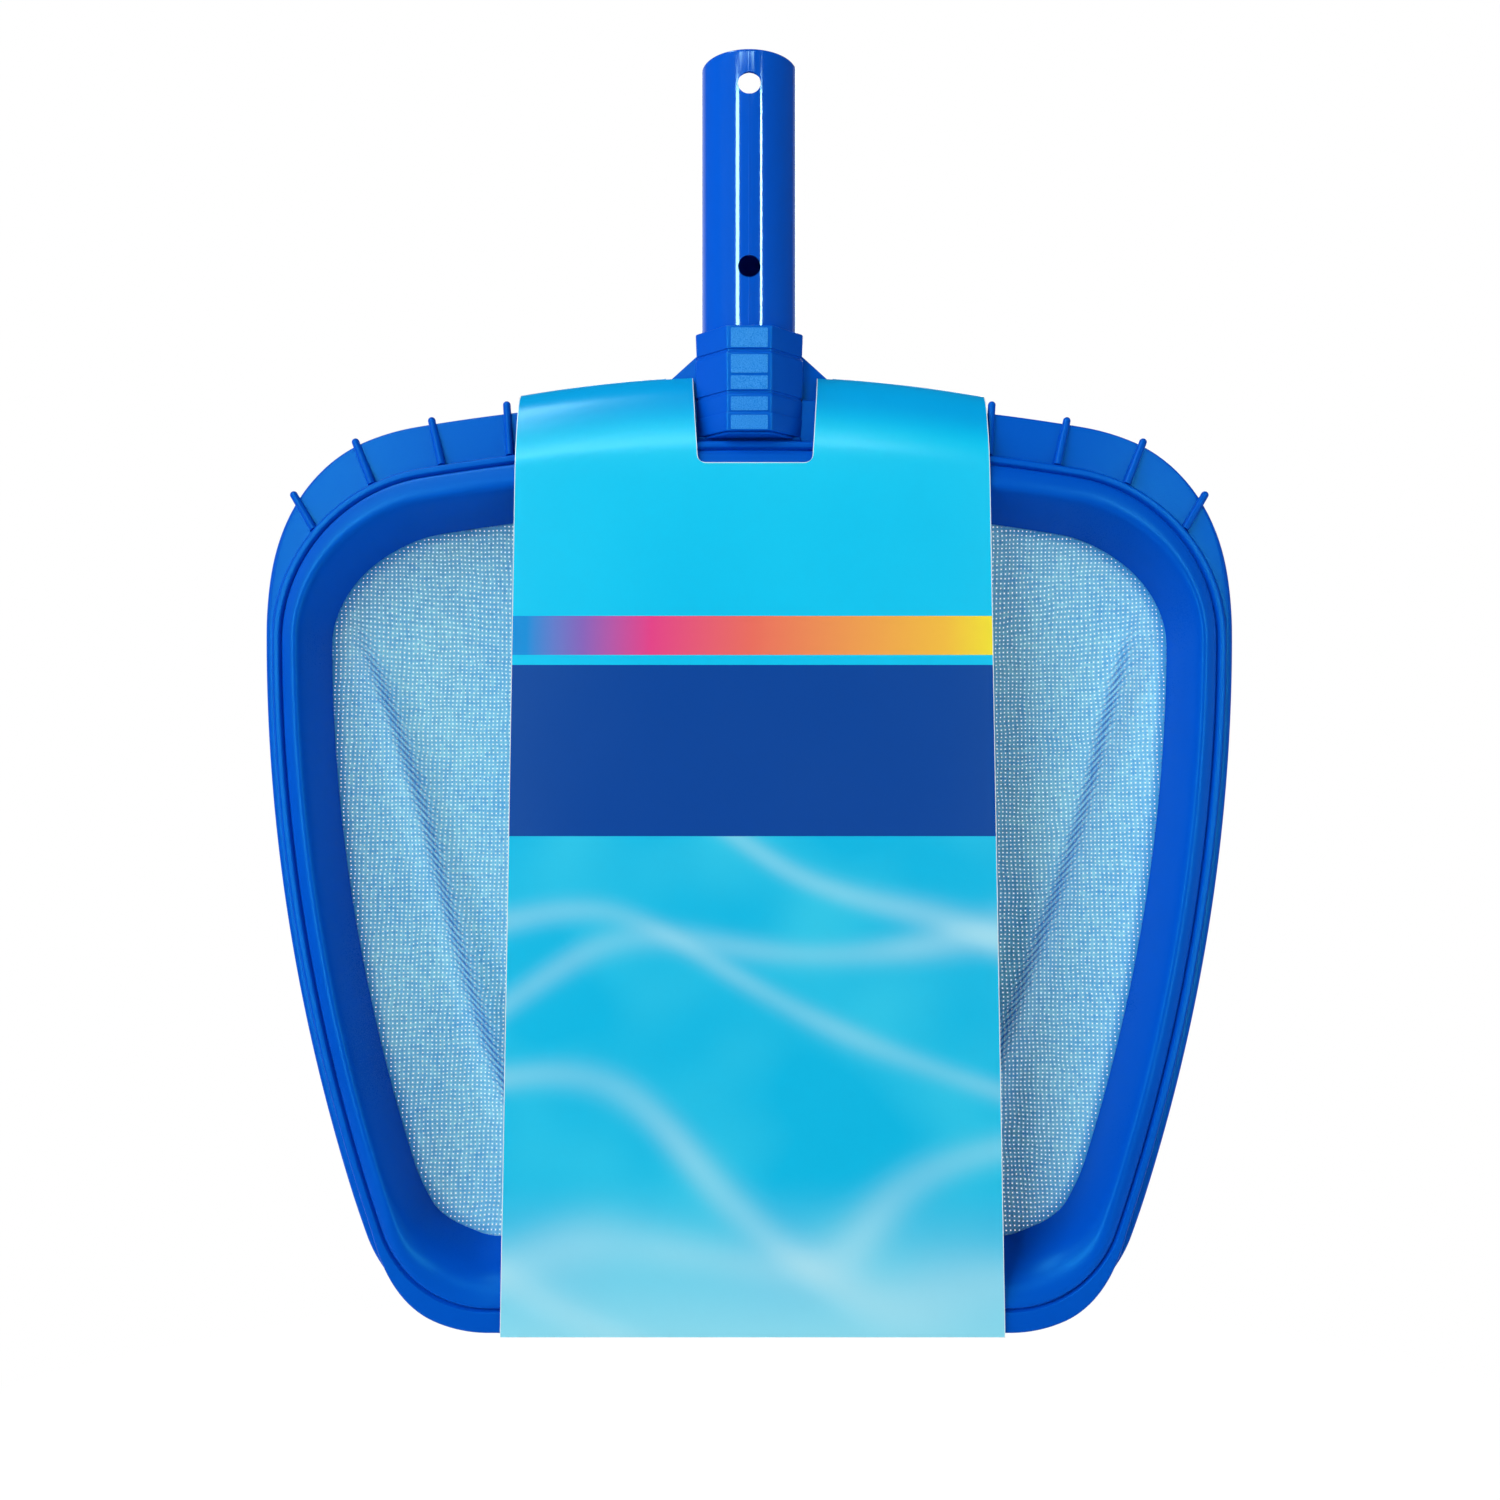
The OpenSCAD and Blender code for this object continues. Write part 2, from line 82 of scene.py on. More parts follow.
# %% Colour helper
def paint(red, green, blue):
    """A display colour, 0 to 255 a channel, as the linear colour that shaders use."""
    parts = [c / 255 for c in (red, green, blue)]
    return tuple(c / 12.92 if c <= 0.04045 else ((c + 0.055) / 1.055) ** 2.4 for c in parts)


print("frame blue in linear light:", [round(c, 3) for c in paint(0, 85, 204)])

# %% [markdown]
# ## Small helpers for node trees
# A material is a tree of nodes, joined from socket to socket. Most of the nodes
# only do sums. Here an output socket is wrapped as a wire, and each sum written
# with wires adds its Math node, so a mask reads as the formula that it is.

# %% Nodes and wires
def fill(socket, value):
    """Gives a socket its plain value, or joins it to the socket that drives it."""
    value = value.socket if isinstance(value, Wire) else value
    if isinstance(value, bpy.types.NodeSocket):
        socket.id_data.links.new(value, socket)
    else:
        socket.default_value = (*value, 1) if socket.type == "RGBA" else value


def add(tree, kind, inputs=(), **settings):
    """Adds a node, makes its settings, then fills its inputs by name or number."""
    node = tree.nodes.new(kind)
    for key, value in settings.items():
        setattr(node, key, value)
    for key, value in dict(inputs).items():
        fill(node.inputs[key], value)
    return node


def reckon(operation, *values):
    """A Math node on numbers and wires, in the wires' own tree."""
    tree = next(value.tree for value in values if isinstance(value, Wire))
    return Wire(add(tree, "ShaderNodeMath", enumerate(values), operation=operation).outputs[0])


class Wire:
    """An output socket that sums can be written with."""

    def __init__(self, socket):
        self.socket, self.tree = socket, socket.id_data

    def __add__(self, other):
        return reckon("ADD", self, other)

    def __sub__(self, other):
        return reckon("SUBTRACT", self, other)

    def __rsub__(self, other):
        return reckon("SUBTRACT", other, self)

    def __mul__(self, other):
        return reckon("MULTIPLY", self, other)

    def __truediv__(self, other):
        return reckon("DIVIDE", self, other)

    def __rtruediv__(self, other):
        return reckon("DIVIDE", other, self)

    def __pow__(self, other):
        return reckon("POWER", self, other)

    def __abs__(self):
        return reckon("ABSOLUTE", self)

    def __lt__(self, other):
        return reckon("LESS_THAN", self, other)

    def __gt__(self, other):
        return reckon("GREATER_THAN", self, other)

    def clamped(self):
        """The same sum, held between 0 and 1."""
        self.socket.node.use_clamp = True
        return self


def live(sockets, *names):
    """The first socket in use, or the first of that name."""
    return next(s for s in sockets if s.enabled and (not names or s.name in names))


print("nodes and wires ready")

# %% Noise, colours, places and relief
def noise(place, scale, detail=2.0, rough=0.5, part=0):
    """Soft noise at a place: its value, or its colour if that part is asked for."""
    inputs = {"Vector": place, "Scale": scale, "Detail": detail, "Roughness": rough}
    return Wire(add(place.tree, "ShaderNodeTexNoise", inputs).outputs[part])


def mix_colour(factor, a, b):
    """Two colours mixed by a wire; each is a wire or a linear colour."""
    node = add(factor.tree, "ShaderNodeMix", data_type="RGBA")
    for name, value in (("Factor", factor), ("A", a), ("B", b)):
        fill(live(node.inputs, name), value)
    return Wire(live(node.outputs, "Result"))


def axes(vector):
    """The three parts of a vector."""
    return [Wire(s) for s in add(vector.tree, "ShaderNodeSeparateXYZ", {0: vector}).outputs]


def object_place(tree):
    """The place on the piece, in metres."""
    return Wire(add(tree, "ShaderNodeTexCoord").outputs["Object"])


def spread(value, start, end, kind="LINEAR"):
    """0 to 1 as a wire goes from start to end."""
    inputs = {"Value": value, "From Min": start, "From Max": end}
    return Wire(add(value.tree, "ShaderNodeMapRange", inputs, interpolation_type=kind).outputs[0])


def raise_relief(shader, height, strength, distance):
    """Lays a relief on a shader, over any that it has already."""
    normal = shader.inputs["Normal"]
    inputs = {"Height": height, "Strength": strength, "Distance": distance * MM}
    if normal.is_linked:
        inputs["Normal"] = normal.links[0].from_socket
    fill(normal, add(height.tree, "ShaderNodeBump", inputs).outputs[0])


print("helpers for looks ready")

# %% Groups and materials
def new_group(name, inputs, outputs):
    """A shader node group: its inputs as wires, and the node that takes its outputs."""
    group = bpy.data.node_groups.new(name, "ShaderNodeTree")
    for label, value in inputs.items():
        kind = "NodeSocketVector" if value is None else "NodeSocketFloat"
        socket = group.interface.new_socket(label, in_out="INPUT", socket_type=kind)
        if value is not None:
            socket.default_value = value
    for label in outputs:
        group.interface.new_socket(label, in_out="OUTPUT", socket_type="NodeSocketFloat")
    start, end = add(group, "NodeGroupInput"), add(group, "NodeGroupOutput")
    return group, {s.name: Wire(s) for s in start.outputs}, end


def new_material(name, base, roughness, **sockets):
    """A material with its Principled shader, and the shader's plain values."""
    material = bpy.data.materials.new(name)
    material.use_nodes = True
    shader = material.node_tree.nodes["Principled BSDF"]
    for label, value in {"Base Color": base, "Roughness": roughness, **sockets}.items():
        fill(shader.inputs[label.replace("_", " ")], value)
    return material, material.node_tree, shader


print("helpers for materials ready")

# %% [markdown]
# ## Moulded plastic
# Injection-moulded plastic is never quite flat. The mould's steel leaves a fine
# grain, and the melt's flow leaves slow, faint waves in the gloss and the shade.
# The frame, the tube and the collar share this effect at different strengths,
# so it is one node group with named inputs.

# %% Node group: moulded skin
FLOW_SCALE, GLOSS_SWING = 22.0, 0.16
moulded_skin, skin_in, skin_out = new_group(
    "moulded_skin",
    {"Grain size": 0.35, "Grain": 0.5, "Flow": 0.5, "Speckle": 0.0},
    ("Shade", "Gloss change", "Height"),
)
skin_place = object_place(moulded_skin)
skin_flow = (noise(skin_place, FLOW_SCALE) - 0.5) * skin_in["Flow"]
skin_grain = noise(skin_place, 1 / MM / skin_in["Grain size"], rough=0.6) - 0.5
skin_both = skin_flow + skin_grain * skin_in["Grain"]
skin_shade = (skin_flow + (skin_grain * skin_in["Speckle"] + 0.5)).clamped()
for label, wire in (("Shade", skin_shade), ("Gloss change", skin_both), ("Height", skin_both)):
    fill(skin_out.inputs[label], wire)
print("moulded_skin has", len(moulded_skin.nodes), "nodes")


# %% Three moulded plastics: frame, tube and collar
def moulded_plastic(name, light, deep, roughness, grain, flow, bump, speckle=0.0, **sockets):
    """A plastic whose shade, gloss and surface vary with the moulded skin."""
    material, tree, shader = new_material(name, light, roughness, **sockets)
    skin = add(tree, "ShaderNodeGroup", node_tree=moulded_skin)
    for label, value in (("Grain", grain), ("Flow", flow), ("Speckle", speckle)):
        fill(skin.inputs[label], value)
    shade, gloss, height = [Wire(s) for s in skin.outputs]
    fill(shader.inputs["Base Color"], mix_colour(shade, deep, light))
    fill(shader.inputs["Roughness"], (gloss * GLOSS_SWING + roughness).clamped())
    raise_relief(shader, height, bump, 0.05)
    return material


DYED, TINTED = (0.06, 0.9, 1.0), (0.5, 1.0, 1.0)
SEAM_HALF, SEAM_DEEP = 0.35, 0.12
frame_blue = moulded_plastic(
    "frame_blue", paint(0, 85, 204), paint(0, 75, 189), 0.3, 0.6, 0.7, 0.25,
    Specular_Tint=DYED, Specular_IOR_Level=0.2)
tube_blue = moulded_plastic(
    "tube_blue", paint(0, 90, 214), paint(0, 84, 205), 0.08, 0.2, 0.3, 0.03,
    Specular_Tint=TINTED, Specular_IOR_Level=0.95)
collar_blue = moulded_plastic(
    "collar_blue", paint(0, 85, 206), paint(0, 74, 192), 0.34, 1.0, 0.6, 0.5,
    Specular_Tint=DYED, Specular_IOR_Level=0.4)
seam_off = abs(axes(object_place(tube_blue.node_tree))[0])
seam_line = (1.0 - seam_off / (SEAM_HALF * MM)).clamped()
raise_relief(tube_blue.node_tree.nodes["Principled BSDF"], seam_line, 0.5, SEAM_DEEP)
print("plastics:", frame_blue.name, tube_blue.name, collar_blue.name)

# %% [markdown]
# ## The mouth's outline
# The groove round the mouth is the line that every moulded section hangs on. It
# is a chain of arcs that meet without a kink: a nearly straight crown, a tight
# shoulder, a long side, a heel and the flat toe. Arcs are exact and need only a
# radius and an angle each, so they are used in place of a traced curve.

# %% The chain of arcs
ARCS = ((561.0, 9.9), (47.7, 82.2), (528.0, 18.5), (32.5, 69.4))
CROWN_V, CROWN_R = -35.5, ARCS[0][0]


def arc_end(start, radius, turn):
    """The place, heading and length run after an arc; turn is in radians."""
    x, v, heading, run = start
    end = heading + turn
    x = x + radius * (np.sin(end) - np.sin(heading))
    v = v + radius * (np.cos(end) - np.cos(heading))
    return x, v, end, run + radius * turn


joints_of_arcs = [(0.0, CROWN_V, 0.0, 0.0)]
for arc_radius, arc_turn in ARCS:
    joints_of_arcs.append(arc_end(joints_of_arcs[-1], arc_radius, radians(arc_turn)))
SHOULDER_RUN, FLANK_RUN, HEEL_RUN, TOE_RUN = [j[3] for j in joints_of_arcs[1:]]
TOE_X, TOE_V = joints_of_arcs[4][:2]
HALF_RUN = TOE_RUN + TOE_X
print("half outline:", round(HALF_RUN, 1), "mm; toe at v =", round(TOE_V, 2))


# %% Stations along the outline
def outline(run):
    """Place (x, v) and heading at each length run from the crown's middle, down one side."""
    x, v = TOE_X - (run - TOE_RUN), np.full_like(run, TOE_V)
    heading = np.full_like(run, pi)
    for (radius, turn), start in zip(ARCS, joints_of_arcs):
        here = (run >= start[3]) & (run < start[3] + radius * radians(turn))
        turned_to = arc_end(start, radius, (run[here] - start[3]) / radius)
        x[here], v[here], heading[here] = turned_to[:3]
    return x, v, heading


class Stations:
    """Stations all round the mouth: down the right side and back up the left."""

    def __init__(self, count):
        half = np.linspace(0, HALF_RUN, count // 2 + 1)
        self.run = np.concatenate([half, half[-2:0:-1]])
        self.side = np.concatenate([np.ones(len(half)), -np.ones(len(half) - 2)])
        self.x, self.v, self.heading = outline(self.run)

    def place(self, u, t):
        """Points u outside the groove and t behind the crest's plane, in the head's axes."""
        x = self.side * (self.x + u * np.sin(self.heading))
        v = self.v + u * np.cos(self.heading)
        return np.stack([x, np.broadcast_to(t, x.shape), v], axis=-1)


HEAD_LEAN, HEAD_SET = radians(5.5), 9.3


def to_part(points):
    """Points from the head's axes (across, depth, up) to the part's axes."""
    x, t, v = np.moveaxis(np.asarray(points, float), -1, 0)
    y = t * cos(HEAD_LEAN) + v * sin(HEAD_LEAN) - HEAD_SET
    z = v * cos(HEAD_LEAN) - t * sin(HEAD_LEAN)
    return np.stack([x, y, z], axis=-1)


RIM_STATIONS = 640
rim_stations = Stations(RIM_STATIONS)
print("stations:", RIM_STATIONS, "about", round(2 * HALF_RUN / RIM_STATIONS, 2), "mm apart")

# %% [markdown]
# ## Sections that change along the way
# The front ring and the rear frame are each one section swept along the outline.
# The section changes as it goes: a ribbed flange at the crown, a plain edge down
# the sides and a flat spatula lip at the toe. Every size is given at the crown,
# the side and the toe, and is eased from one to the next.

# %% Sizes eased along the outline
FLANK_FADE, WALL_FADE, LIP_FADE, TOE_FADE = 0.17, 13.6, 2.6, 0.67
FADE_END = HEEL_RUN + TOE_FADE * (TOE_RUN - HEEL_RUN)


def ease(start, end, value):
    """0 before start, 1 after end, and a smooth step between."""
    share = np.clip((value - start) / (end - start), 0, 1)
    return share * share * (3 - 2 * share)


def to_lip(run):
    """How far the border has become the spatula lip."""
    return ease(HEEL_RUN - LIP_FADE, FADE_END, run)


def along(sizes, run):
    """A size given at the crown, the side and the toe, taken at length run."""
    crown, flank, toe = sizes
    to_flank = ease(SHOULDER_RUN + FLANK_FADE * (FLANK_RUN - SHOULDER_RUN), FLANK_RUN, run)
    to_toe = ease(HEEL_RUN - WALL_FADE, FADE_END, run)
    return crown + (flank - crown) * to_flank + (toe - flank) * to_toe


CREST_IN, CREST_T, FOOT_IN = (6.3, 4, 1.4), (0, 0, 0.45), (13.8, 10.4, 16.2)
BEND_U, BEND_T, BEND_TURN = (1.8, 1.8, 11), (2.4, 2.4, 12), (70, 70, 58)
MOUTH_DEPTH, LEAST_BEND = 16.0, 0.3


def bend(run, behind, share):
    """A point on the roll from crest to wall, so far behind the front face."""
    angle = share * np.radians(along(BEND_TURN, run))
    across, deep = along(BEND_U, run), along(BEND_T, run)
    ru, rt = np.maximum(LEAST_BEND, across - behind), np.maximum(LEAST_BEND, deep - behind)
    u = -along(CREST_IN, run) - across + behind + ru - ru * np.sin(angle)
    t = along(CREST_T, run) + behind + rt - rt * np.cos(angle)
    return np.stack([u, t], axis=-1)


def foot_across(run, behind):
    """How wide an offset of that thickness is where the wall meets its foot."""
    top = bend(run, 0, 1)
    wide = top[:, 0] + along(FOOT_IN, run)
    high = MOUTH_DEPTH - top[:, 1]
    return behind * np.hypot(wide, high) / high


print("wall's foot at the crown, side and toe:", [
    round(float(along(FOOT_IN, np.array(r))), 1) for r in (0.0, FLANK_RUN, HALF_RUN)])

# %% [markdown]
# ## From section to surface
# Two helpers do the work for both mouldings. The first rounds the corners of a
# section with a short curve, because a moulded edge is never sharp. The second
# joins the sections of all the stations into one closed skin of four-sided faces.

# %% Rounded sections
def spot(run, u, t):
    """One point of the section at every station."""
    return np.stack([np.broadcast_to(c, run.shape) for c in (u, t)], axis=-1)


def spots(run, *corners):
    """Corners of the section, each from (u, t, setback)."""
    return [(spot(run, u, t), setback) for u, t, setback in corners]


def rounded(corners, cuts=4):
    """Replaces each (point, setback) that has a setback with a short curve."""
    points = []
    for i, (at, setback) in enumerate(corners):
        if not np.any(setback):
            points.append(at)
            continue
        setback = np.broadcast_to(setback, at.shape[:1])[:, None]
        ends = []
        for other in (corners[i - 1][0], corners[(i + 1) % len(corners)][0]):
            way = other - at
            length = np.linalg.norm(way, axis=-1, keepdims=True)
            ends.append(at + way / length * np.minimum(setback, 0.45 * length))
        for k in np.linspace(0, 1, cuts + 1):
            points.append((1 - k) ** 2 * ends[0] + 2 * k * (1 - k) * at + k * k * ends[1])
    return points


def rounded_flat(corners, cuts=4):
    """A flat outline of (x, y, setback) corners, with each corner rounded."""
    one = np.zeros(1)
    return np.array([p[0] for p in rounded(spots(one, *corners), cuts)])


print("a rounded square has", len(rounded_flat([(0, 0, 1), (9, 0, 1), (9, 9, 1), (0, 9, 1)])), "points")

# %% Faces and pieces
def ring_faces(rows, columns, close_rows=True):
    """Quads of a grid whose columns close on themselves, and its rows too if asked."""
    last = rows if close_rows else rows - 1
    return [
        (j * columns + i, j * columns + (i + 1) % columns,
         (j + 1) % rows * columns + (i + 1) % columns, (j + 1) % rows * columns + i)
        for j in range(last) for i in range(columns)
    ]


def stack_faces(rows, columns, first=0):
    """Faces of a closed stack of rings, with a cap at each end."""
    sides = [tuple(first + i for i in face) for face in ring_faces(rows, columns, close_rows=False)]
    starts = (first, first + (rows - 1) * columns)
    return sides + [tuple(range(start, start + columns)) for start in starts]


def smooth(piece, sharp):
    """Smooth shading, except at edges with more than that angle."""
    piece.data.shade_smooth()
    piece.data.set_sharp_from_angle(angle=radians(sharp))
    return piece


def settle(mesh, shape, material):
    """Writes a bmesh into its mesh, normals outward, and shows it as a piece."""
    bmesh.ops.recalc_face_normals(shape, faces=shape.faces)
    shape.to_mesh(mesh)
    shape.free()
    mesh.materials.append(material)
    return show(mesh.name, mesh)


def new_piece(name, points, faces, material, sharp=40):
    """A piece from points in millimetres, with its doubles merged."""
    mesh = bpy.data.meshes.new(name)
    mesh.from_pydata((np.asarray(points) * MM).tolist(), [], faces)
    shape = bmesh.new()
    shape.from_mesh(mesh)
    bmesh.ops.remove_doubles(shape, verts=shape.verts, dist=1e-7)
    return smooth(settle(mesh, shape, material), sharp)


def swept(name, section, stations, material):
    """A closed band through one section at every station, in the part's axes."""
    points = np.stack([stations.place(p[:, 0], p[:, 1]) for p in section], axis=1)
    faces = ring_faces(*points.shape[:2])
    return new_piece(name, to_part(points).reshape(-1, 3), faces, material)


def bake(piece):
    """Applies a piece's modifiers, as Blender evaluates them, to its own mesh."""
    bpy.context.view_layer.update()
    seen = piece.evaluated_get(bpy.context.evaluated_depsgraph_get())
    mesh = bpy.data.meshes.new_from_object(seen)
    piece.modifiers.clear()
    piece.data = mesh
    mesh.name = piece.name
    return piece


print("helpers for pieces ready")

# %% [markdown]
# ## Front ring
# The ring is the bright, rounded rim of the mouth. From outside in it has a thin
# border, a fine groove, a rolled crest and a steep wall that clamps the net. At
# the toe the roll opens into a ramp and the border widens into the spatula lip.
# The roll is rounded once more by drawing each of its points towards its two
# neighbours many times over, as a polisher would ease a kink out of the mould.

# %% Front ring
RING_WALL, BORDER_W, LIP_W, LIP_BACK, BORDER_CUT = 1.8, 2.9, 6.2, 1.7, 0.25
BORDER_T, LIP_T, GROOVE_T, GROOVE_HALF = 1.0, 0.5, 2.0, 0.7
CREST_STEPS, ROLL_STEPS, WALL_STEPS, WALL_SHARE, SOFTENING = 10, 12, 8, 0.35, 40


def ring_back(run):
    """Depth of the ring's back face, which sits on the rear frame's ledge."""
    return 3.2 - 0.6 * to_lip(run)


def softened(points, rounds):
    """A run of section points with its bends made rounder; both ends stay."""
    line = np.array(points)
    for _ in range(rounds):
        line[1:-1] += 0.25 * (line[:-2] - 2 * line[1:-1] + line[2:])
    return list(line)


def shares(steps):
    """Even shares of a way, from the first step to the whole."""
    return np.linspace(0, 1, steps + 1)[1:]


def ring_section(run):
    """The ring's section, from its outer edge over the crest and back."""
    lip, back = to_lip(run), ring_back(run)
    edge = BORDER_W - BORDER_CUT + (LIP_W - BORDER_W + BORDER_CUT) * lip
    edge_back = back + (LIP_BACK - back) * lip
    face = BORDER_T + (LIP_T - BORDER_T) * lip
    crest, top, foot = -along(CREST_IN, run), along(CREST_T, run), -along(FOOT_IN, run)
    corners = spots(
        run,
        (edge, edge_back, 0.25),
        (edge, face, 0.8),
        (GROOVE_HALF, face, 0.25),
        (0.1, GROOVE_T - BORDER_T + face + 0.3, 0.15),
        (-GROOVE_HALF + 0.2, face + 0.1, 0.15),
    )
    roll = [
        spot(run, -GROOVE_HALF + (crest + GROOVE_HALF) * k, face + (top - face) * np.sin(k * pi / 2))
        for k in shares(CREST_STEPS)
    ]
    roll += [bend(run, 0, k) for k in shares(ROLL_STEPS)]
    start = roll[-1]
    wall = spot(run, foot, MOUTH_DEPTH) - start
    roll += [start + wall * WALL_SHARE * k for k in shares(WALL_STEPS)]
    corners += [(point, 0) for point in softened(roll, SOFTENING)]
    corners += spots(
        run,
        (foot, MOUTH_DEPTH, 0.3),
        (foot + foot_across(run, RING_WALL), MOUTH_DEPTH, 0.3),
    )
    corners += [(bend(run, RING_WALL, k), 0) for k in shares(8)[::-1]]
    corners += spots(run, (-GROOVE_HALF - 0.5, back, 0), (BORDER_W - 0.3, back, 0))
    return rounded(corners)


front_rim = swept("front_rim", ring_section(rim_stations.run), rim_stations, frame_blue)
print("front_rim:", len(front_rim.data.polygons), "faces")

# %% [markdown]
# ## Rear frame
# Behind the ring stands the frame that carries everything. Its flange is wide
# along the crown, turns down into a skirt at the sides, and its wall runs
# parallel to the ring's wall so that the net's hem is held between their feet.

# %% Rear shell
FIT, FRAME_WALL, HEM_GAP = 0.3, 1.9, 0.8
FLANGE_T, FLANGE_W = 4.9, (16.7, 5.5, 4.6)
EDGE_FRONT, EDGE_ROUND, EDGE_BACK = (FLANGE_T, 3.7, 3.5), (0.8, 2.3, 1.2), (7.5, 10, 8.5)


def frame_section(run):
    """The rear frame's section, from its outer skirt inward and back."""
    out, front = along(FLANGE_W, run), along(EDGE_FRONT, run)
    r, low = along(EDGE_ROUND, run), along(EDGE_BACK, run)
    ledge, behind = ring_back(run) + FIT, RING_WALL + FIT
    face, rear = np.maximum(front, ledge), behind + FRAME_WALL
    foot, foot_top = -along(FOOT_IN, run), MOUTH_DEPTH + HEM_GAP
    inner = np.minimum(BORDER_W + FIT, out - r - 0.3)
    corners = spots(
        run,
        (out - 0.3, low, 0.3),
        (out, low - 0.3, 0.3),
        (out, front, r),
        (inner + 0.4, face, 0.4),
        (inner, ledge, 0),
        (-GROOVE_HALF - 0.5 - FIT, ledge, 0),
    )
    corners += [(bend(run, behind, k), 0) for k in shares(8)]
    corners += spots(
        run,
        (foot + foot_across(run, behind), foot_top, 0),
        (foot + FIT, foot_top, 0.3),
        (foot + FIT, foot_top + FRAME_WALL, 0.5),
        (foot + foot_across(run, rear), foot_top + FRAME_WALL, 0.5),
    )
    corners += [(bend(run, rear, k), 0) for k in shares(8)[::-1]]
    corners += spots(
        run,
        (0, ledge + FRAME_WALL, 0.8),
        (out - FRAME_WALL - 0.2, face + FRAME_WALL, 0.8),
        (out - FRAME_WALL, low, 0.3),
    )
    return rounded(corners)


rear_shell = swept("rear_shell", frame_section(rim_stations.run), rim_stations, frame_blue)
print("rear_shell:", len(rear_shell.data.polygons), "faces")


# %% [markdown]
# ## Neck, gussets and the cut for the collar
# The collar passes through the flange, so the flange is cut to its octagon. Two
# gusset plates with 45 degree shoulders stiffen the joint, and a fairing behind
# the ring carries the load from the collar's foot down to the wall.

# %% Cutting and bevelling
COLLAR_H, COLLAR_AF = 31.0, 32.0


def bevelled(piece, width, segments, angle):
    """Rounds the edges where a piece's faces meet at more than that angle."""
    edge = piece.modifiers.new("edge", "BEVEL")
    edge.width, edge.segments = width * MM, segments
    edge.limit_method, edge.angle_limit = "ANGLE", radians(angle)
    return bake(piece)


def octagon(across, z, corner=0.0, cuts=3):
    """The points of an octagon with a flat to the front, its corners rounded."""
    radius = across / 2 / cos(pi / 8)
    corners = [(radius * cos(a), radius * sin(a), corner) for a in (np.arange(8) + 0.5) * pi / 4]
    return [(x, y, z) for x, y in rounded_flat(corners, cuts)]


def cut_away(piece, tool, sharp=40, materials="INDEX"):
    """Cuts one closed mesh out of another, exactly."""
    cutter = piece.modifiers.new("cut", "BOOLEAN")
    cutter.object, cutter.solver, cutter.material_mode = tool, "EXACT", materials
    bake(piece).data.set_sharp_from_angle(angle=radians(sharp))
    return piece


print("helpers for cuts ready")

# %% Gussets
GUSSET_FRONT, GUSSET_T, GUSSET_W, GUSSET_TOP = 6.6, 3.0, 16.0, -4.4
near, far = COLLAR_AF / 2 - 1, COLLAR_AF / 2 + GUSSET_W
collar_space = new_piece(
    "collar_space",
    octagon(COLLAR_AF - 0.5, -COLLAR_H) + octagon(COLLAR_AF - 0.5, COLLAR_H),
    stack_faces(2, 8),
    frame_blue,
)
cut_away(rear_shell, collar_space)
gussets = []
for gusset_name, side in (("gusset_left", -1), ("gusset_right", 1)):
    corners = ((near, GUSSET_TOP), (far, GUSSET_TOP - GUSSET_W), (far, CROWN_V + 6), (near, CROWN_V + 4))
    flat = rounded_flat([(side * x, v, 0.8) for x, v in corners], cuts=5)
    points = to_part([(x, t, v) for t in (GUSSET_FRONT, GUSSET_FRONT + GUSSET_T) for x, v in flat])
    gusset = new_piece(gusset_name, points, stack_faces(2, len(flat)), frame_blue)
    gussets.append(cut_away(bevelled(gusset, 0.4, 3, 50), collar_space))
bpy.data.objects.remove(collar_space)
print("gussets:", [len(g.data.polygons) for g in gussets], "faces; shell", len(rear_shell.data.polygons))

# %% Neck fairing
NECK_W, NECK_T, NECK_V = 20.0, (15.0, 18.7), -44.5
NECK_FRONT, NECK_SIDE = -8.4, 0.98 * (COLLAR_AF / 2 - 0.5)
NECK_TOPS = (-COLLAR_H, -COLLAR_H - 1)
fairing = bmesh.new()
hull = [p for z in NECK_TOPS for p in octagon(COLLAR_AF - 1, z) if p[1] > NECK_FRONT - 0.1]
hull += [(x, NECK_FRONT, z) for x in (NECK_SIDE, -NECK_SIDE) for z in NECK_TOPS]
hull += [
    to_part((x, t, v)) for x in (-NECK_W / 2, NECK_W / 2) for t in NECK_T for v in (NECK_V, NECK_V + 1)
]
for point in hull:
    fairing.verts.new(Vector(point) * MM)
bmesh.ops.convex_hull(fairing, input=fairing.verts)
loose = [v for v in fairing.verts if not v.link_faces]
bmesh.ops.delete(fairing, geom=loose, context="VERTS")
bmesh.ops.dissolve_limit(fairing, angle_limit=radians(2), verts=fairing.verts, edges=fairing.edges)
top, low = [
    [fairing.verts.new(Vector(p) * MM) for p in octagon(COLLAR_AF - 1.6, z)]
    for z in (-COLLAR_H - 0.05, -COLLAR_H - 0.9)
]
sides = [(top[i - 1], top[i], low[i], low[i - 1]) for i in range(8)]
for face in (top, low, *sides):
    fairing.faces.new(face)
neck_fairing = settle(bpy.data.meshes.new("neck_fairing"), fairing, frame_blue)
smooth(bevelled(neck_fairing, 0.7, 4, 25), 50)
print("neck_fairing:", len(neck_fairing.data.polygons), "faces")


# %% Turned shapes and the frame's spigot
def turned(name, profile, material, segments=96):
    """A lathe: a closed profile of (radius, z) turned round the tube's axis."""
    points = [
        (r * cos(a), r * sin(a), z)
        for a in np.arange(segments) * 2 * pi / segments for r, z in profile
    ]
    return new_piece(name, points, ring_faces(segments, len(profile)), material)


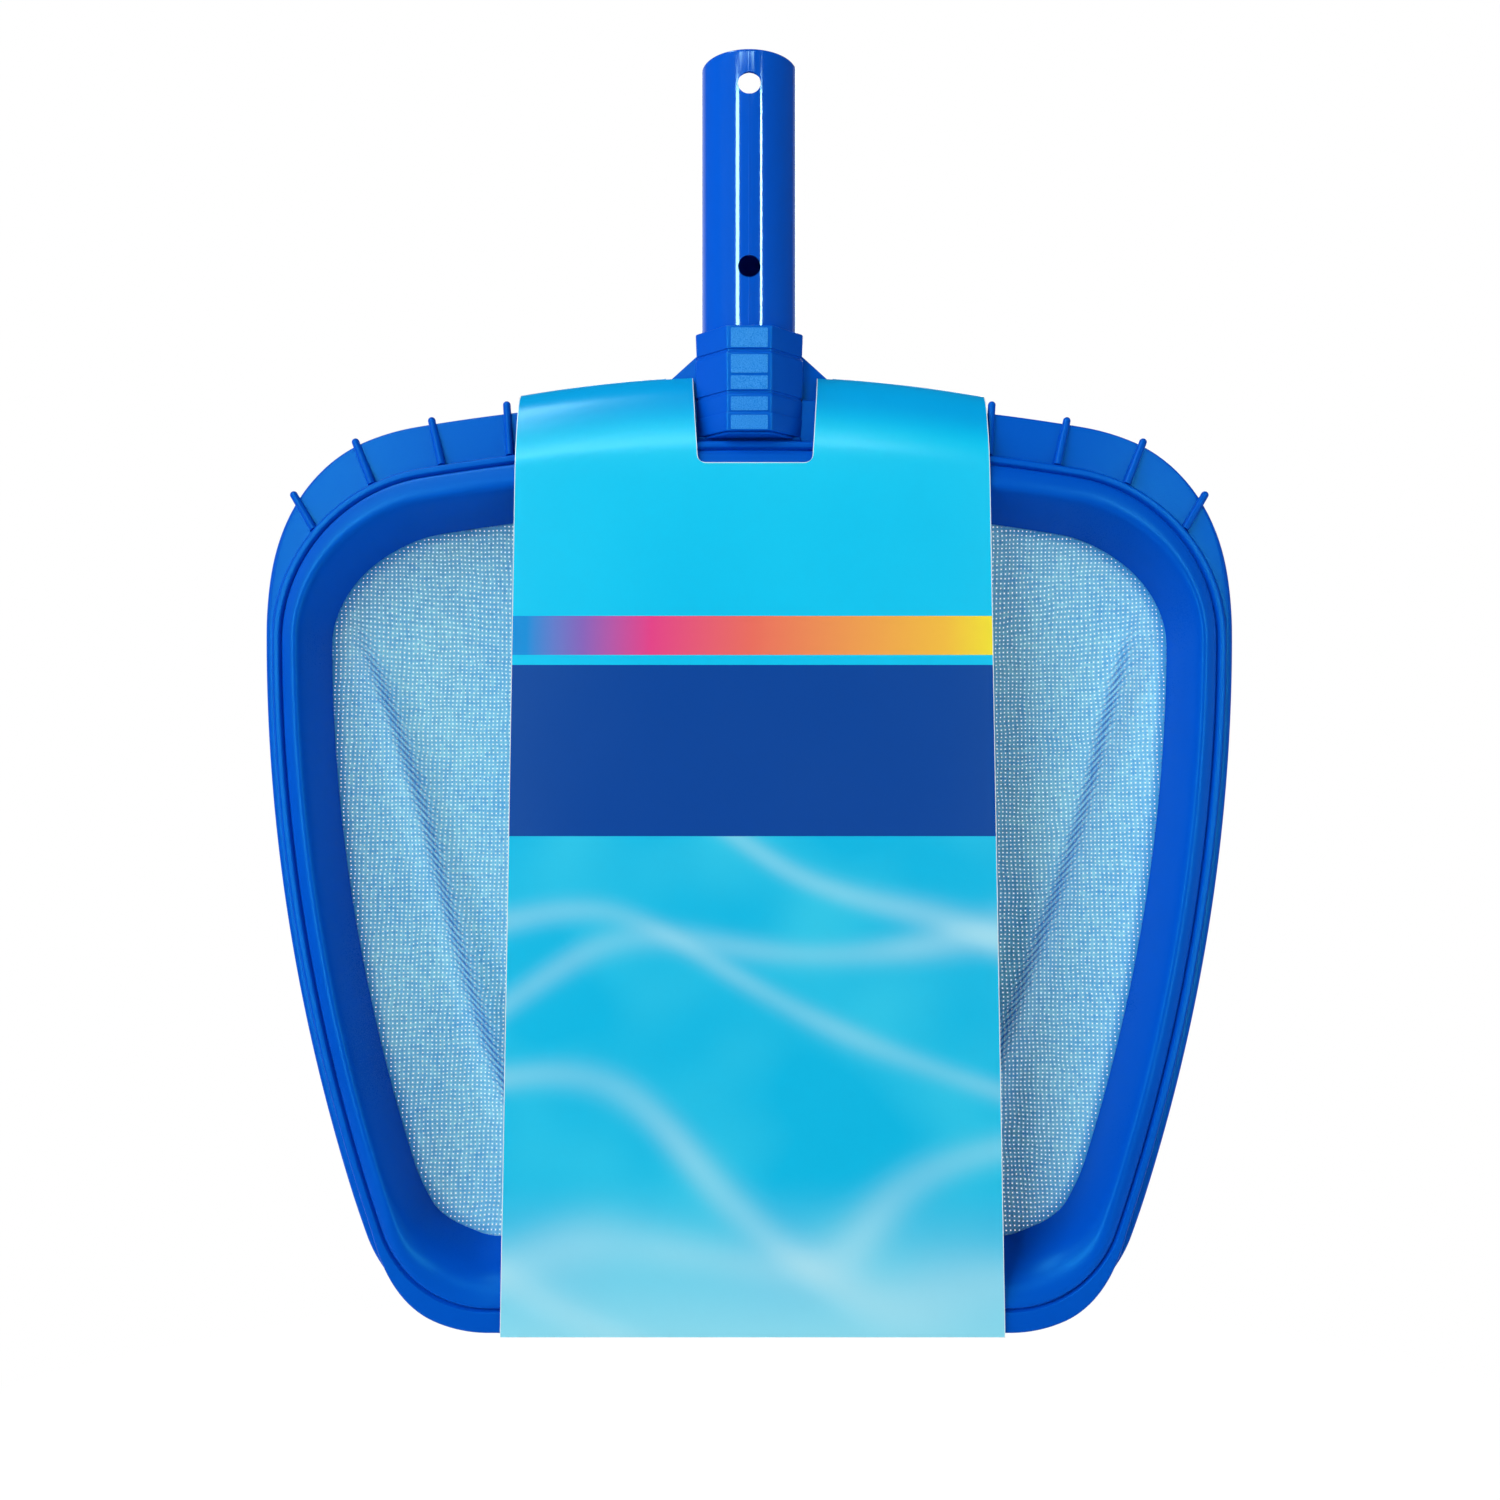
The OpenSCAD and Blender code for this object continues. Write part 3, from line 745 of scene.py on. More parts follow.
SPIGOT_R, SPIGOT_TOP, SPIGOT_FOOT = 12.0, -7.0, -31.4
spigot_profile = rounded_flat([
    (SPIGOT_R, SPIGOT_FOOT, 0),
    (SPIGOT_R, SPIGOT_TOP, 0.8),
    (0.6, SPIGOT_TOP, 0),
    (0.6, SPIGOT_FOOT, 0),
])
neck_spigot = turned("neck_spigot", spigot_profile, frame_blue)
print("neck_spigot:", len(neck_spigot.data.polygons), "faces")

# %% [markdown]
# ## Ribs on the flange
# Twelve round rods stiffen the flange and stand a little past its edge. They
# repeat, and each only needs a start and an end, so Geometry Nodes make them: an
# edge for each rod becomes a curve, the curve becomes a rod, and a ball is set
# on its outer end. The rod's width is a named input.

# %% Helpers for Geometry Nodes
def new_rule(name, inputs):
    """A Geometry Nodes tree: its named inputs as wires, and its end node."""
    rule = bpy.data.node_groups.new(name, "GeometryNodeTree")
    for label, kind in {"Geometry": "NodeSocketGeometry", **inputs}.items():
        rule.interface.new_socket(label, in_out="INPUT", socket_type=kind)
    rule.interface.new_socket("Geometry", in_out="OUTPUT", socket_type="NodeSocketGeometry")
    start, end = add(rule, "NodeGroupInput"), add(rule, "NodeGroupOutput")
    return rule, {s.name: Wire(s) for s in start.outputs}, end


def end_rule(rule, shape, finish, end):
    """Makes instances real, sets the material and hands the geometry out."""
    real = add(rule, "GeometryNodeRealizeInstances", {"Geometry": shape})
    painted = add(rule, "GeometryNodeSetMaterial", {"Geometry": real.outputs[0], "Material": finish})
    fill(end.inputs["Geometry"], painted.outputs[0])


def read_attribute(rule, name, kind):
    """What is stored on each point under a name."""
    node = add(rule, "GeometryNodeInputNamedAttribute", {"Name": name}, data_type=kind)
    return Wire(live(node.outputs))


def follow_rule(piece, rule, values):
    """Adds the rule as a modifier, sets its inputs by their identifiers, and bakes it."""
    modifier = piece.modifiers.new(rule.name, "NODES")
    modifier.node_group = rule
    for socket in rule.interface.items_tree:
        if socket.in_out == "INPUT" and socket.name in values:
            modifier[socket.identifier] = values[socket.name]
    return bake(piece)


print("helpers for rules ready")

# %% Geometry Nodes: rods with round tips
rod_rule, rod_in, rod_out = new_rule(
    "rods_with_round_tips", {"Rod width": "NodeSocketFloat", "Finish": "NodeSocketMaterial"})
rod_half = rod_in["Rod width"] * 0.5
rod_curve = add(rod_rule, "GeometryNodeMeshToCurve", {"Mesh": rod_in["Geometry"]})
rod_round = add(rod_rule, "GeometryNodeCurvePrimitiveCircle", {"Resolution": 20, "Radius": rod_half})
rod_mesh = add(rod_rule, "GeometryNodeCurveToMesh", {
    "Curve": rod_curve.outputs["Curve"],
    "Profile Curve": rod_round.outputs["Curve"],
    "Fill Caps": True,
})
rod_ball = add(rod_rule, "GeometryNodeMeshUVSphere", {"Segments": 20, "Rings": 12, "Radius": rod_half})
rod_place = add(rod_rule, "GeometryNodeInstanceOnPoints", {
    "Points": rod_in["Geometry"],
    "Selection": read_attribute(rod_rule, "outer_end", "BOOLEAN"),
    "Instance": rod_ball.outputs["Mesh"],
})
rod_both = add(rod_rule, "GeometryNodeJoinGeometry", {"Geometry": rod_mesh.outputs["Mesh"]})
fill(rod_both.inputs["Geometry"], rod_place.outputs["Instances"])
end_rule(rod_rule, rod_both.outputs["Geometry"], rod_in["Finish"], rod_out)
print("rule for rods:", len(rod_rule.nodes), "nodes")

# %% Ribs
RIB_FIRST, RIB_PITCH, RIB_W, RIB_T, RIB_TIP_T = 30.0, 20.3, 2.3, 3.5, 0.3
RIB_OVER = (1.5, 1.5, 3.7, 2.1, 2.2, 3.6)
RIB_FANS = [radians(max(0, 5.3 + 8.8 * (k - 2))) for k in range(len(RIB_OVER))]
RIB_START = BORDER_W + FIT + 0.1
rib_runs = RIB_FIRST + RIB_PITCH * np.arange(len(RIB_OVER))
rib_reach = along(FLANGE_W, rib_runs) - RIB_START + RIB_OVER - RIB_W / 2
rib_rise = along(EDGE_FRONT, rib_runs) + RIB_TIP_T - RIB_T
rib_points = []
for x, v, heading, fan, reach, rise in zip(*outline(rib_runs), RIB_FANS, rib_reach, rib_rise):
    reach = reach / cos(heading - fan)
    start = np.array([x + RIB_START * sin(heading), RIB_T, v + RIB_START * cos(heading)])
    tip = start + (reach * sin(fan), rise, reach * cos(fan))
    for side in (1, -1):
        rib_points += [start * (side, 1, 1), tip * (side, 1, 1)]
rib_mesh = bpy.data.meshes.new("flange_ribs")
rib_edges = [(i, i + 1) for i in range(0, len(rib_points), 2)]
rib_mesh.from_pydata((to_part(rib_points) * MM).tolist(), rib_edges, [])
outer_end = rib_mesh.attributes.new("outer_end", "BOOLEAN", "POINT")
outer_end.data.foreach_set("value", [i % 2 == 1 for i in range(len(rib_points))])
flange_ribs = show("flange_ribs", rib_mesh)
follow_rule(flange_ribs, rod_rule, {"Rod width": RIB_W * MM, "Finish": frame_blue})
smooth(flange_ribs, 60)
print("flange_ribs:", len(rib_edges), "rods,", len(flange_ribs.data.polygons), "faces")

# %% [markdown]
# ## The net
# The net is a woven mesh, pulled over the rear frame and clamped at its hem, with
# a shallow sag and one long soft fold on each side. Cloth under tension follows a
# rule, so a flat mesh in rings is given its depth by Geometry Nodes, with the sag
# and the depth of the folds as named inputs.

# %% Net, flat in its plane
NET_RINGS, NET_STATIONS, NET_SAG, HEM_FIT = 72, 360, 9.0, 0.1
net_stations = Stations(NET_STATIONS)
net_run = net_stations.run
hem_u = foot_across(net_run, RING_WALL) - 0.2 - along(FOOT_IN, net_run)
net_border = net_stations.place(-along(FOOT_IN, net_run), 0.0)
net_middle = np.array([0.0, 0.0, (CROWN_V + TOE_V) / 2 - 2])
net_shares = np.linspace(0, 1, NET_RINGS, endpoint=False) ** 1.25
net_points = [net_stations.place(hem_u, 0.0)]
net_points += [net_border * (1 - k) + net_middle * k for k in net_shares]
net_points = np.concatenate(net_points + [net_middle[None]])
net_share = np.concatenate([np.zeros(len(net_run)), np.repeat(net_shares, len(net_run)), [1.0]])
net_faces = ring_faces(NET_RINGS + 1, NET_STATIONS, close_rows=False)
net_last, net_tip = NET_RINGS * NET_STATIONS, len(net_points) - 1
for i in range(NET_STATIONS):
    net_faces.append((net_last + i, net_last + (i + 1) % NET_STATIONS, net_tip))
print("net:", len(net_points), "points in", NET_RINGS + 1, "rings")

# %% Folds
FOLD_DEEP, FOLD_WIDE, CREASE_WIDE, GATHER = 2.2, 9.0, 2.1, 3.5
FOLD_START = np.array(joints_of_arcs[2][:2]) + (-16, 15)
FOLD_WAY = np.array([TOE_X - 12, TOE_V + 22]) - FOLD_START


def fold_at(x, v):
    """The soft fold from each upper corner to the toe: height, crease and gathered cloth."""
    px, pv = np.abs(x) - FOLD_START[0], v - FOLD_START[1]
    share = (px * FOLD_WAY[0] + pv * FOLD_WAY[1]) / (FOLD_WAY @ FOLD_WAY)
    off = (px * FOLD_WAY[1] - pv * FOLD_WAY[0]) / np.hypot(*FOLD_WAY)
    fade = ease(0, 0.15, share) * (1 - ease(0.8, 1, share))
    wide = np.where(np.abs(off) < FOLD_WIDE, 0.5 + 0.5 * np.cos(pi * off / FOLD_WIDE), 0)
    astray = off - 1.2 * np.sin(share * 9 + np.sign(x))
    crease = np.exp(-(astray / CREASE_WIDE) ** 2)
    return fade * wide, fade * crease, fade * GATHER * ease(-3, 3, astray)


net_fold, net_crease, net_gather = fold_at(net_points[:, 0], net_points[:, 2])
print("folds, mm:", round(float(net_fold.max()) * FOLD_DEEP, 2), "deep")

# %% Geometry Nodes: sag and folds
sag_rule, sag_in, sag_out = new_rule("sag_and_folds", {
    "Sag": "NodeSocketFloat", "Fold depth": "NodeSocketFloat", "Finish": "NodeSocketMaterial"})
sag_shape = 1.0 - (1.0 - read_attribute(sag_rule, "share", "FLOAT")) ** 4.0
sag_fold = read_attribute(sag_rule, "fold", "FLOAT") * sag_in["Fold depth"]
sag_offset = add(sag_rule, "ShaderNodeCombineXYZ", {"Y": sag_shape * sag_in["Sag"] - sag_fold})
sag_move = add(sag_rule, "GeometryNodeSetPosition", {
    "Geometry": sag_in["Geometry"], "Offset": sag_offset.outputs[0]})
end_rule(sag_rule, sag_move.outputs[0], sag_in["Finish"], sag_out)
print("rule for the sag:", len(sag_rule.nodes), "nodes")

# %% [markdown]
# ## Woven mesh
# Up close the net is a square weave of fine blue threads with tiny holes. At this
# scale the threads are drawn by the shader: the mask of the threads is the alpha,
# and each thread gets its own shade, because no two threads catch the light alike.
# The pattern reads the piece's own UV map, which is the flat cloth in metres.

# %% Node group: woven mesh
WAVE_SCALE, WANDER_REACH, THREAD_STEP, THREAD_DRAWN = 120.0, 6.0, 0.73, 0.3
woven_mesh, weave_in, weave_out = new_group(
    "woven_mesh",
    {"Cloth": None, "Pitch": 1.22 * MM, "Thread share": 0.75, "Wander": 0.2},
    ("Cover", "Shade", "Height"),
)
weave_wave = axes(noise(weave_in["Cloth"], WAVE_SCALE, part="Color"))
weave_cells = [
    cloth / weave_in["Pitch"] + (wave - 0.5) * (weave_in["Wander"] * WANDER_REACH)
    for cloth, wave in zip(axes(weave_in["Cloth"])[:2], weave_wave)
]


def thread_set(across, lengthwise):
    """One set of threads: its mask, a shade along each thread, and the way off its middle."""
    off = abs(reckon("FRACT", across) - 0.5)
    mask = off < weave_in["Thread share"] * 0.5
    number = {0: reckon("FLOOR", across) * THREAD_STEP, 1: lengthwise * THREAD_DRAWN}
    shade = noise(Wire(add(across.tree, "ShaderNodeCombineXYZ", number).outputs[0]), 1.0)
    return mask, shade * mask, off


warp, weft = thread_set(*weave_cells), thread_set(*weave_cells[::-1])
fill(weave_out.inputs["Cover"], reckon("MAXIMUM", warp[0], weft[0]))
fill(weave_out.inputs["Shade"], reckon("MAXIMUM", warp[1], weft[1]))
fill(weave_out.inputs["Height"], 0.5 - reckon("MINIMUM", warp[2], weft[2]))
print("woven_mesh has", len(woven_mesh.nodes), "nodes")

# %% Net material
PUCKER_PITCH, PUCKER_SLANT, PUCKER_WAVER = 2.3, -0.6, 0.006
net_weave, net_tree, net_shader = new_material(
    "net_weave", paint(76, 174, 221), 0.5, Specular_IOR_Level=0.2)
net_uv = Wire(add(net_tree, "ShaderNodeUVMap", uv_map="cloth").outputs[0])
net_cloth = add(net_tree, "ShaderNodeGroup", node_tree=woven_mesh)
fill(net_cloth.inputs["Cloth"], net_uv)
net_cover, net_shade, net_height = [Wire(s) for s in net_cloth.outputs]
crease_mark, side_mark = [
    Wire(add(net_tree, "ShaderNodeAttribute", attribute_name=name).outputs["Fac"])
    for name in ("crease", "side_strip")
]
net_drift = noise(net_uv, 28.0, detail=3.0)
net_light = (net_shade * 1.2 - 0.1).clamped() + net_drift * 0.6
# Painted light: the threads are lighter toward the holes and darker along their middles, and the pale paints
# stand in part for light shining through the thin threads.
net_tone = ((0.5 - net_height) * 1.5 + net_light - 0.5).clamped()
net_colour = mix_colour(net_tone, paint(56, 161, 232), paint(158, 238, 255))
net_colour = mix_colour(side_mark * 0.8, net_colour, paint(8, 140, 216))
net_x, net_y, _ = axes(net_uv)
pucker = abs(net_x) * PUCKER_SLANT + net_y + net_drift * PUCKER_WAVER
pucker = (reckon("SINE", pucker * (2 * pi / (PUCKER_PITCH * MM))) * 0.5 + 0.55).clamped()
# Along each crease the darker blue is partly the doubled, gathered cloth and partly painted shade in the
# fold.
net_colour = mix_colour(crease_mark * pucker, net_colour, paint(0, 104, 192))
fill(net_shader.inputs["Base Color"], net_colour)
fill(net_shader.inputs["Alpha"], (net_cover + crease_mark * 0.6).clamped())
raise_relief(net_shader, net_height, 0.4, 0.2)
print("net_weave:", len(net_tree.nodes), "nodes")

# %% Net sheet
net_mesh = bpy.data.meshes.new("net_sheet")
net_mesh.from_pydata((net_points * MM).tolist(), [], net_faces)
net_strip = (1 - ease(0.005, 0.025, net_share)) * ease(60, 90, np.abs(net_points[:, 0]))
net_marks = {"share": net_share, "fold": net_fold, "crease": net_crease, "side_strip": net_strip}
for label, values in net_marks.items():
    stored = net_mesh.attributes.new(label, "FLOAT", "POINT")
    stored.data.foreach_set("value", values.astype(np.float32))
net_corner = np.zeros(len(net_mesh.loops), dtype=np.int32)
net_mesh.loops.foreach_get("vertex_index", net_corner)
net_cut = net_points[:, [0, 2]] + np.stack([np.zeros(len(net_points)), net_gather], axis=1)
net_map = (net_cut[net_corner] * MM).astype(np.float32).ravel()
net_mesh.uv_layers.new(name="cloth").data.foreach_set("uv", net_map)
net_sheet = show("net_sheet", net_mesh)
follow_rule(net_sheet, sag_rule, {"Sag": NET_SAG * MM, "Fold depth": FOLD_DEEP * MM, "Finish": net_weave})
net_mesh = net_sheet.data
net_bag = np.zeros(len(net_mesh.vertices) * 3, dtype=np.float32)
net_mesh.vertices.foreach_get("co", net_bag)
net_bag = net_bag.reshape(-1, 3) / MM + (0, MOUTH_DEPTH + HEM_FIT + 0.3, 0)
net_mesh.vertices.foreach_set("co", (to_part(net_bag) * MM).astype(np.float32).ravel())
net_mesh.shade_smooth()

# %% [markdown]
# ## Handle tube
# The tube is turned on its axis, so a lathe gives its wall, rim and socket. The
# clip holes are cut through it, and open a little inside the wall, as a moulded
# hole does. A cut leaves long thin faces on the round wall, which shade unevenly,
# so each corner's normal is set from the tube's own axis.

# %% Handle tube
TUBE_R, FOOT_R, BORE_R, SOCKET_R, TUBE_TOP, SOCKET_TOP = 14.4, 14.6, 12.1, 12.3, 81.05, -6.7
CLIP_R, CLIP_HEIGHTS, CLIP_STEPS = 3.25, (17.4, 71.0), 64
DRILL = [(20, CLIP_R), (14.2, CLIP_R), (11, CLIP_R + 1)]
tube_profile = rounded_flat([
    (FOOT_R, -COLLAR_H, 0),
    (FOOT_R, 0.0, 0.1),
    (TUBE_R + 0.14, 0.0, 0.1),
    (TUBE_R, 1.6, 1.2),
    (TUBE_R, TUBE_TOP, 0.9),
    (BORE_R, TUBE_TOP, 1.25),
    (BORE_R, SOCKET_TOP, 0),
    (SOCKET_R, SOCKET_TOP, 0),
    (SOCKET_R, -COLLAR_H, 0),
], cuts=6)
spigot_tube = turned("spigot_tube", tube_profile, tube_blue, segments=160)
for clip_z in CLIP_HEIGHTS:
    drill_points = [
        (r * cos(a), y, clip_z + r * sin(a))
        for y, r in [(-y, r) for y, r in DRILL] + DRILL[::-1]
        for a in np.arange(CLIP_STEPS) * 2 * pi / CLIP_STEPS
    ]
    drill = new_piece("drill", drill_points, stack_faces(2 * len(DRILL), CLIP_STEPS), tube_blue)
    cut_away(spigot_tube, drill)
    bpy.data.objects.remove(drill)


def turned_normals(piece, holes, radius):
    """Sets each corner's normal from the lathe's axis, or from a cross hole's own axis."""
    mesh, normals = piece.data, []
    for face in mesh.polygons:
        middle, flat = face.center / MM, face.normal
        outward = flat.dot(Vector((middle.x, middle.y, 0)).normalized())
        hole = [z for z in holes if -0.2 < Vector((middle.x, middle.z - z)).length - radius < 1.2]
        in_hole = bool(hole) and abs(flat.y) < 0.5 and abs(outward) < 0.7
        for corner in face.loop_indices:
            at = mesh.vertices[mesh.loops[corner].vertex_index].co / MM
            if in_hole:
                normals.append(-Vector((at.x, 0, at.z - hole[0])).normalized())
            else:
                out = Vector((at.x, at.y, 0)).normalized() * outward
                normals.append((out + Vector((0, 0, flat.z))).normalized())
    mesh.normals_split_custom_set(normals)


turned_normals(spigot_tube, CLIP_HEIGHTS, CLIP_R)
print("spigot_tube:", len(spigot_tube.data.polygons), "faces")

# %% [markdown]
# ## Collar
# The collar stops the pole. It is an octagon in three tiers, each a little
# narrower at its foot and undercut where the next begins. Octagons with rounded
# corners are stacked level by level, and matt pads sit on the front facet.

# %% Collar
COLLAR_BORE = 14.75
collar_levels = [
    (31.3, -0.3), (31.65, -0.36), (31.88, -0.5), (31.98, -0.8), (31.5, -7.0), (31.3, -7.05),
    (30.8, -7.1), (30.8, -7.8), (31.2, -7.8), (31.6, -8.0), (31.95, -8.45), (32.0, -8.8),
    (31.5, -19.2), (31.3, -19.25), (30.8, -19.3), (30.8, -20.0), (31.0, -20.0), (31.35, -20.2),
    (31.55, -20.6), (31.6, -21.0), (31.25, -25.3), (31.2, -25.5), (31.75, -25.55), (31.95, -25.8),
    (32.0, -26.3), (32.0, -30.7), (31.8, -30.95), (31.4, -31.0),
]
collar_rings = [octagon(across, z, corner=0.5) for across, z in collar_levels]
bore_ways = [np.arctan2(y, x) for x, y, _ in collar_rings[0]]
for z in (-COLLAR_H, -0.3):
    collar_rings.append([(COLLAR_BORE * cos(a), COLLAR_BORE * sin(a), z) for a in bore_ways])
collar_block = new_piece(
    "collar_block", np.concatenate(collar_rings),
    ring_faces(len(collar_rings), len(bore_ways)), collar_blue, sharp=35)
print("collar_block:", len(collar_block.data.polygons), "faces")

# %% Pads on the collar's front facet
PADS = ((-6.7, -1.1), (-14.2, -8.9), (-18.9, -15.0), (-25.1, -21.1), (-30.6, -26.5))
PAD_HALF_W, PAD_ROUND, PAD_PROUD, PAD_EDGE, PAD_SUNK = 5.4, 0.4, 0.1, 0.06, -0.5


def facet_y(z):
    """Depth of the collar's front facet at a height, from its levels."""
    heights = [-level for _, level in collar_levels]
    return -np.interp(-z, heights, [across / 2 for across, _ in collar_levels])


def four_sided(low, high, half_low, half_high, round_low, round_high, middle=0.0):
    """A flat outline with two level sides, its corners rounded."""
    lower = [(middle + side * half_low, low, round_low) for side in (-1, 1)]
    return lower + [(middle + side * half_high, high, round_high) for side in (1, -1)]


pad_points, pad_faces = [], []
for low, high in PADS:
    flat = rounded_flat(four_sided(low, high, PAD_HALF_W, PAD_HALF_W, PAD_ROUND, PAD_ROUND))
    middle = flat.mean(axis=0)
    pad_faces += stack_faces(3, len(flat), first=len(pad_points))
    for shrunk, proud in ((0.0, PAD_SUNK), (0.0, PAD_PROUD - PAD_EDGE), (PAD_EDGE, PAD_PROUD)):
        for x, z in middle + (flat - middle) * (1 - shrunk / PAD_HALF_W):
            pad_points.append((x, facet_y(z) - proud, z))
collar_matt = moulded_plastic(
    "collar_matt", paint(66, 148, 236), paint(8, 104, 212), 0.6, 1.8, 0.5, 0.6,
    speckle=2.2, Specular_Tint=DYED)
collar_pads = new_piece("collar_pads", pad_points, pad_faces, collar_matt, sharp=30)
print("collar_pads:", len(PADS), "pads")

# %% [markdown]
# ## Printed card
# The sleeve is one closed band of glossy card, bent over the frame's top and
# tucked under its lip, with a window for the handle. It is drawn as a smooth line
# in depth and height, swept across, and given its thickness. Its map is measured
# along the band, so that the print follows the card round its bends.

# %% Print: cyan, painted shade over the top roll, and soft ripples below
CARD_W, CARD_SHIFT, BAND_LOW, BAND_TOP, STRIPE = 139.0, 0.9, -149.3, -100.0, (-97.1, -85.7)
card_print, print_tree, print_shader = new_material(
    "card_print", paint(0, 201, 244), 0.22, Specular_Tint=TINTED)
print_uv = Wire(add(print_tree, "ShaderNodeUVMap", uv_map="card").outputs[0])
across_card, up_card, _ = axes(print_uv)


def zone(low, high):
    """1 where the print lies between two heights, in millimetres."""
    return (up_card > low * MM) * (up_card < high * MM)


def fade(start, end):
    """0 to 1 as the height goes from start to end, with a smooth step."""
    return spread(up_card, start * MM, end * MM, "SMOOTHSTEP")


top_drift = noise(print_uv, 14.0)
top_cyan = mix_colour(top_drift, paint(0, 194, 242), paint(0, 208, 250))
# Painted shade: the cyan turns darker over the card's top roll, where the bend turns upward out of the lamps'
# light.
top_cyan = mix_colour(fade(-31, -18) * fade(40, 10), top_cyan, paint(0, 166, 232))
ripple_lift = noise(print_uv, 6.5, detail=1.0) * 0.12


def ripple_lines(slant, repeats, thin):
    """Soft light lines: how they slant, how often they come, how thin they are."""
    wave = reckon("SINE", (across_card * slant + up_card + ripple_lift) * repeats)
    return (wave * 0.5 + 0.5) ** thin


ripples = (ripple_lines(0.34, 120.0, 14.0) + ripple_lines(-0.26, 84.0, 22.0)) * top_drift
water_light = (noise(print_uv, 22.0, detail=1.0) * 2.6 - 1.05).clamped()
water = mix_colour(water_light, paint(0, 188, 234), paint(52, 206, 240))
water = mix_colour(fade(-242, -296) * fade(-420, -330), water, paint(146, 226, 246))
water = mix_colour((ripples * 0.66).clamped(), water, paint(184, 236, 250))
printed = mix_colour(zone(-600, BAND_LOW), top_cyan, water)
printed = mix_colour(zone(BAND_LOW, BAND_TOP), printed, paint(2, 67, 159))
print("card_print so far:", len(print_tree.nodes), "nodes")

# %% Print: the stripe
STRIPE_STOPS = (
    (0.03, paint(10, 142, 220)),
    (0.15, paint(140, 98, 190)),
    (0.29, paint(234, 64, 138)),
    (0.5, paint(242, 112, 94)),
    (0.76, paint(248, 168, 74)),
    (0.9, paint(250, 194, 60)),
    (1.0, paint(250, 232, 38)),
)
stripe_share = spread(across_card, (CARD_SHIFT - CARD_W / 2) * MM, (CARD_SHIFT + CARD_W / 2) * MM)
stripe = add(print_tree, "ShaderNodeValToRGB", {0: stripe_share})
while len(stripe.color_ramp.elements) < len(STRIPE_STOPS):
    stripe.color_ramp.elements.new(0.5)
for stop, (at, colour) in zip(stripe.color_ramp.elements, STRIPE_STOPS):
    stop.position, stop.color = at, (*colour, 1)
printed = mix_colour(zone(*STRIPE), printed, stripe.outputs[0])
print("stripe:", len(STRIPE_STOPS), "colours")

# %% [markdown]
# The card is white inside, and a hair of it shows all along its cut edges. The
# shader finds the window's edge from its own outline: a flared slot with round
# lower corners, in the head's leaning axes.

# %% Print: the cut edges
WINDOW_W, WINDOW_DROP, WINDOW_R, WINDOW_SHIFT, WINDOW_TOP = 33.4, 4.6, 2.4, 1.7, 30.0
CUT_EDGE, FRONT_BEFORE = 0.2, 4
window_low = CROWN_V - WINDOW_DROP
window_flare = 1.85 / (CROWN_V + 23 - window_low)
edge_x, edge_y, edge_z = axes(object_place(print_tree))
head_up = edge_z * cos(HEAD_LEAN) + (edge_y + HEAD_SET * MM) * sin(HEAD_LEAN)
over_low = head_up - window_low * MM
window_side = abs(edge_x - WINDOW_SHIFT * MM) - reckon("MAXIMUM", over_low, 0.0) * window_flare
corner_x = reckon("MAXIMUM", window_side - (WINDOW_W / 2 - WINDOW_R) * MM, 0.0)
corner_v = reckon("MAXIMUM", WINDOW_R * MM - over_low, 0.0)
window_way = reckon("SQRT", corner_x ** 2.0 + corner_v ** 2.0)
window_edge = (window_way < (WINDOW_R + CUT_EDGE) * MM) * (edge_y < FRONT_BEFORE * MM)
side_edge = abs(edge_x - CARD_SHIFT * MM) > (CARD_W / 2 - CUT_EDGE) * MM
printed = mix_colour(reckon("MAXIMUM", window_edge, side_edge), printed, paint(228, 242, 248))
fill(print_shader.inputs["Base Color"], printed)
fill(print_shader.inputs["Roughness"], top_drift * 0.08 + 0.17)
print("card_print:", len(print_tree.nodes), "nodes")

# %% Bare card: the inside and the cut edges
card_board, board_tree, board_shader = new_material("card_board", paint(238, 240, 242), 0.85)
fibre = noise(object_place(board_tree), 900.0)
board_colour = mix_colour(fibre, paint(222, 224, 226), paint(248, 249, 250))
fill(board_shader.inputs["Base Color"], board_colour)
raise_relief(board_shader, fibre, 0.3, 0.05)
print("card_board:", len(board_tree.nodes), "nodes")

# %% Band line in depth and height
CARD_T, CARD_CUTS, CARD_COLUMNS, CARD_FRONT_STEPS = 0.5, 8, 48, 89
CARD_FACE, CARD_DROOP = -0.3 - CARD_T, 1.45
FOOT_BOTTOM = MOUTH_DEPTH + HEM_GAP + FRAME_WALL
CARD_BOW = MOUTH_DEPTH + HEM_GAP + NET_SAG + 4.2
card_guides = np.array([
    (CARD_FACE, CROWN_V - 6),
    (CARD_FACE + 0.3, CROWN_V + 2),
    (1, CROWN_V + 11.4),
    (3.6, CROWN_V + 20),
    (7.6, CROWN_V + 24.6),
    (12, CROWN_V + 22.9),
    (16.8, CROWN_V + 13),
    (FOOT_BOTTOM + 2.2, CROWN_V - 4),
    (FOOT_BOTTOM + 5.3, CROWN_V - 30),
    (CARD_BOW, CROWN_V - 110),
    (FOOT_BOTTOM + 8, TOE_V + 46),
    (FOOT_BOTTOM + 2, TOE_V + 13),
    (14, TOE_V),
    (9.5, TOE_V - LIP_W + 0.5),
    (2.4, TOE_V - LIP_W - 0.6),
    (0, TOE_V - LIP_W - 0.8),
    (CARD_FACE, TOE_V - LIP_W - 0.5),
])


def smooth_line(guides, cuts):
    """A curve through all the guides, with so many steps between each two."""
    last, points = len(guides) - 1, []
    for i in range(last):
        a, b, c, d = guides[max(0, i - 1)], guides[i], guides[i + 1], guides[min(last, i + 2)]
        for k in np.arange(cuts) / cuts:
            points.append(b + 0.5 * k * (c - a + k * (2 * a - 5 * b + 4 * c - d + k * (3 * (b - c) + d - a))))
    return np.array(points + [guides[last]])


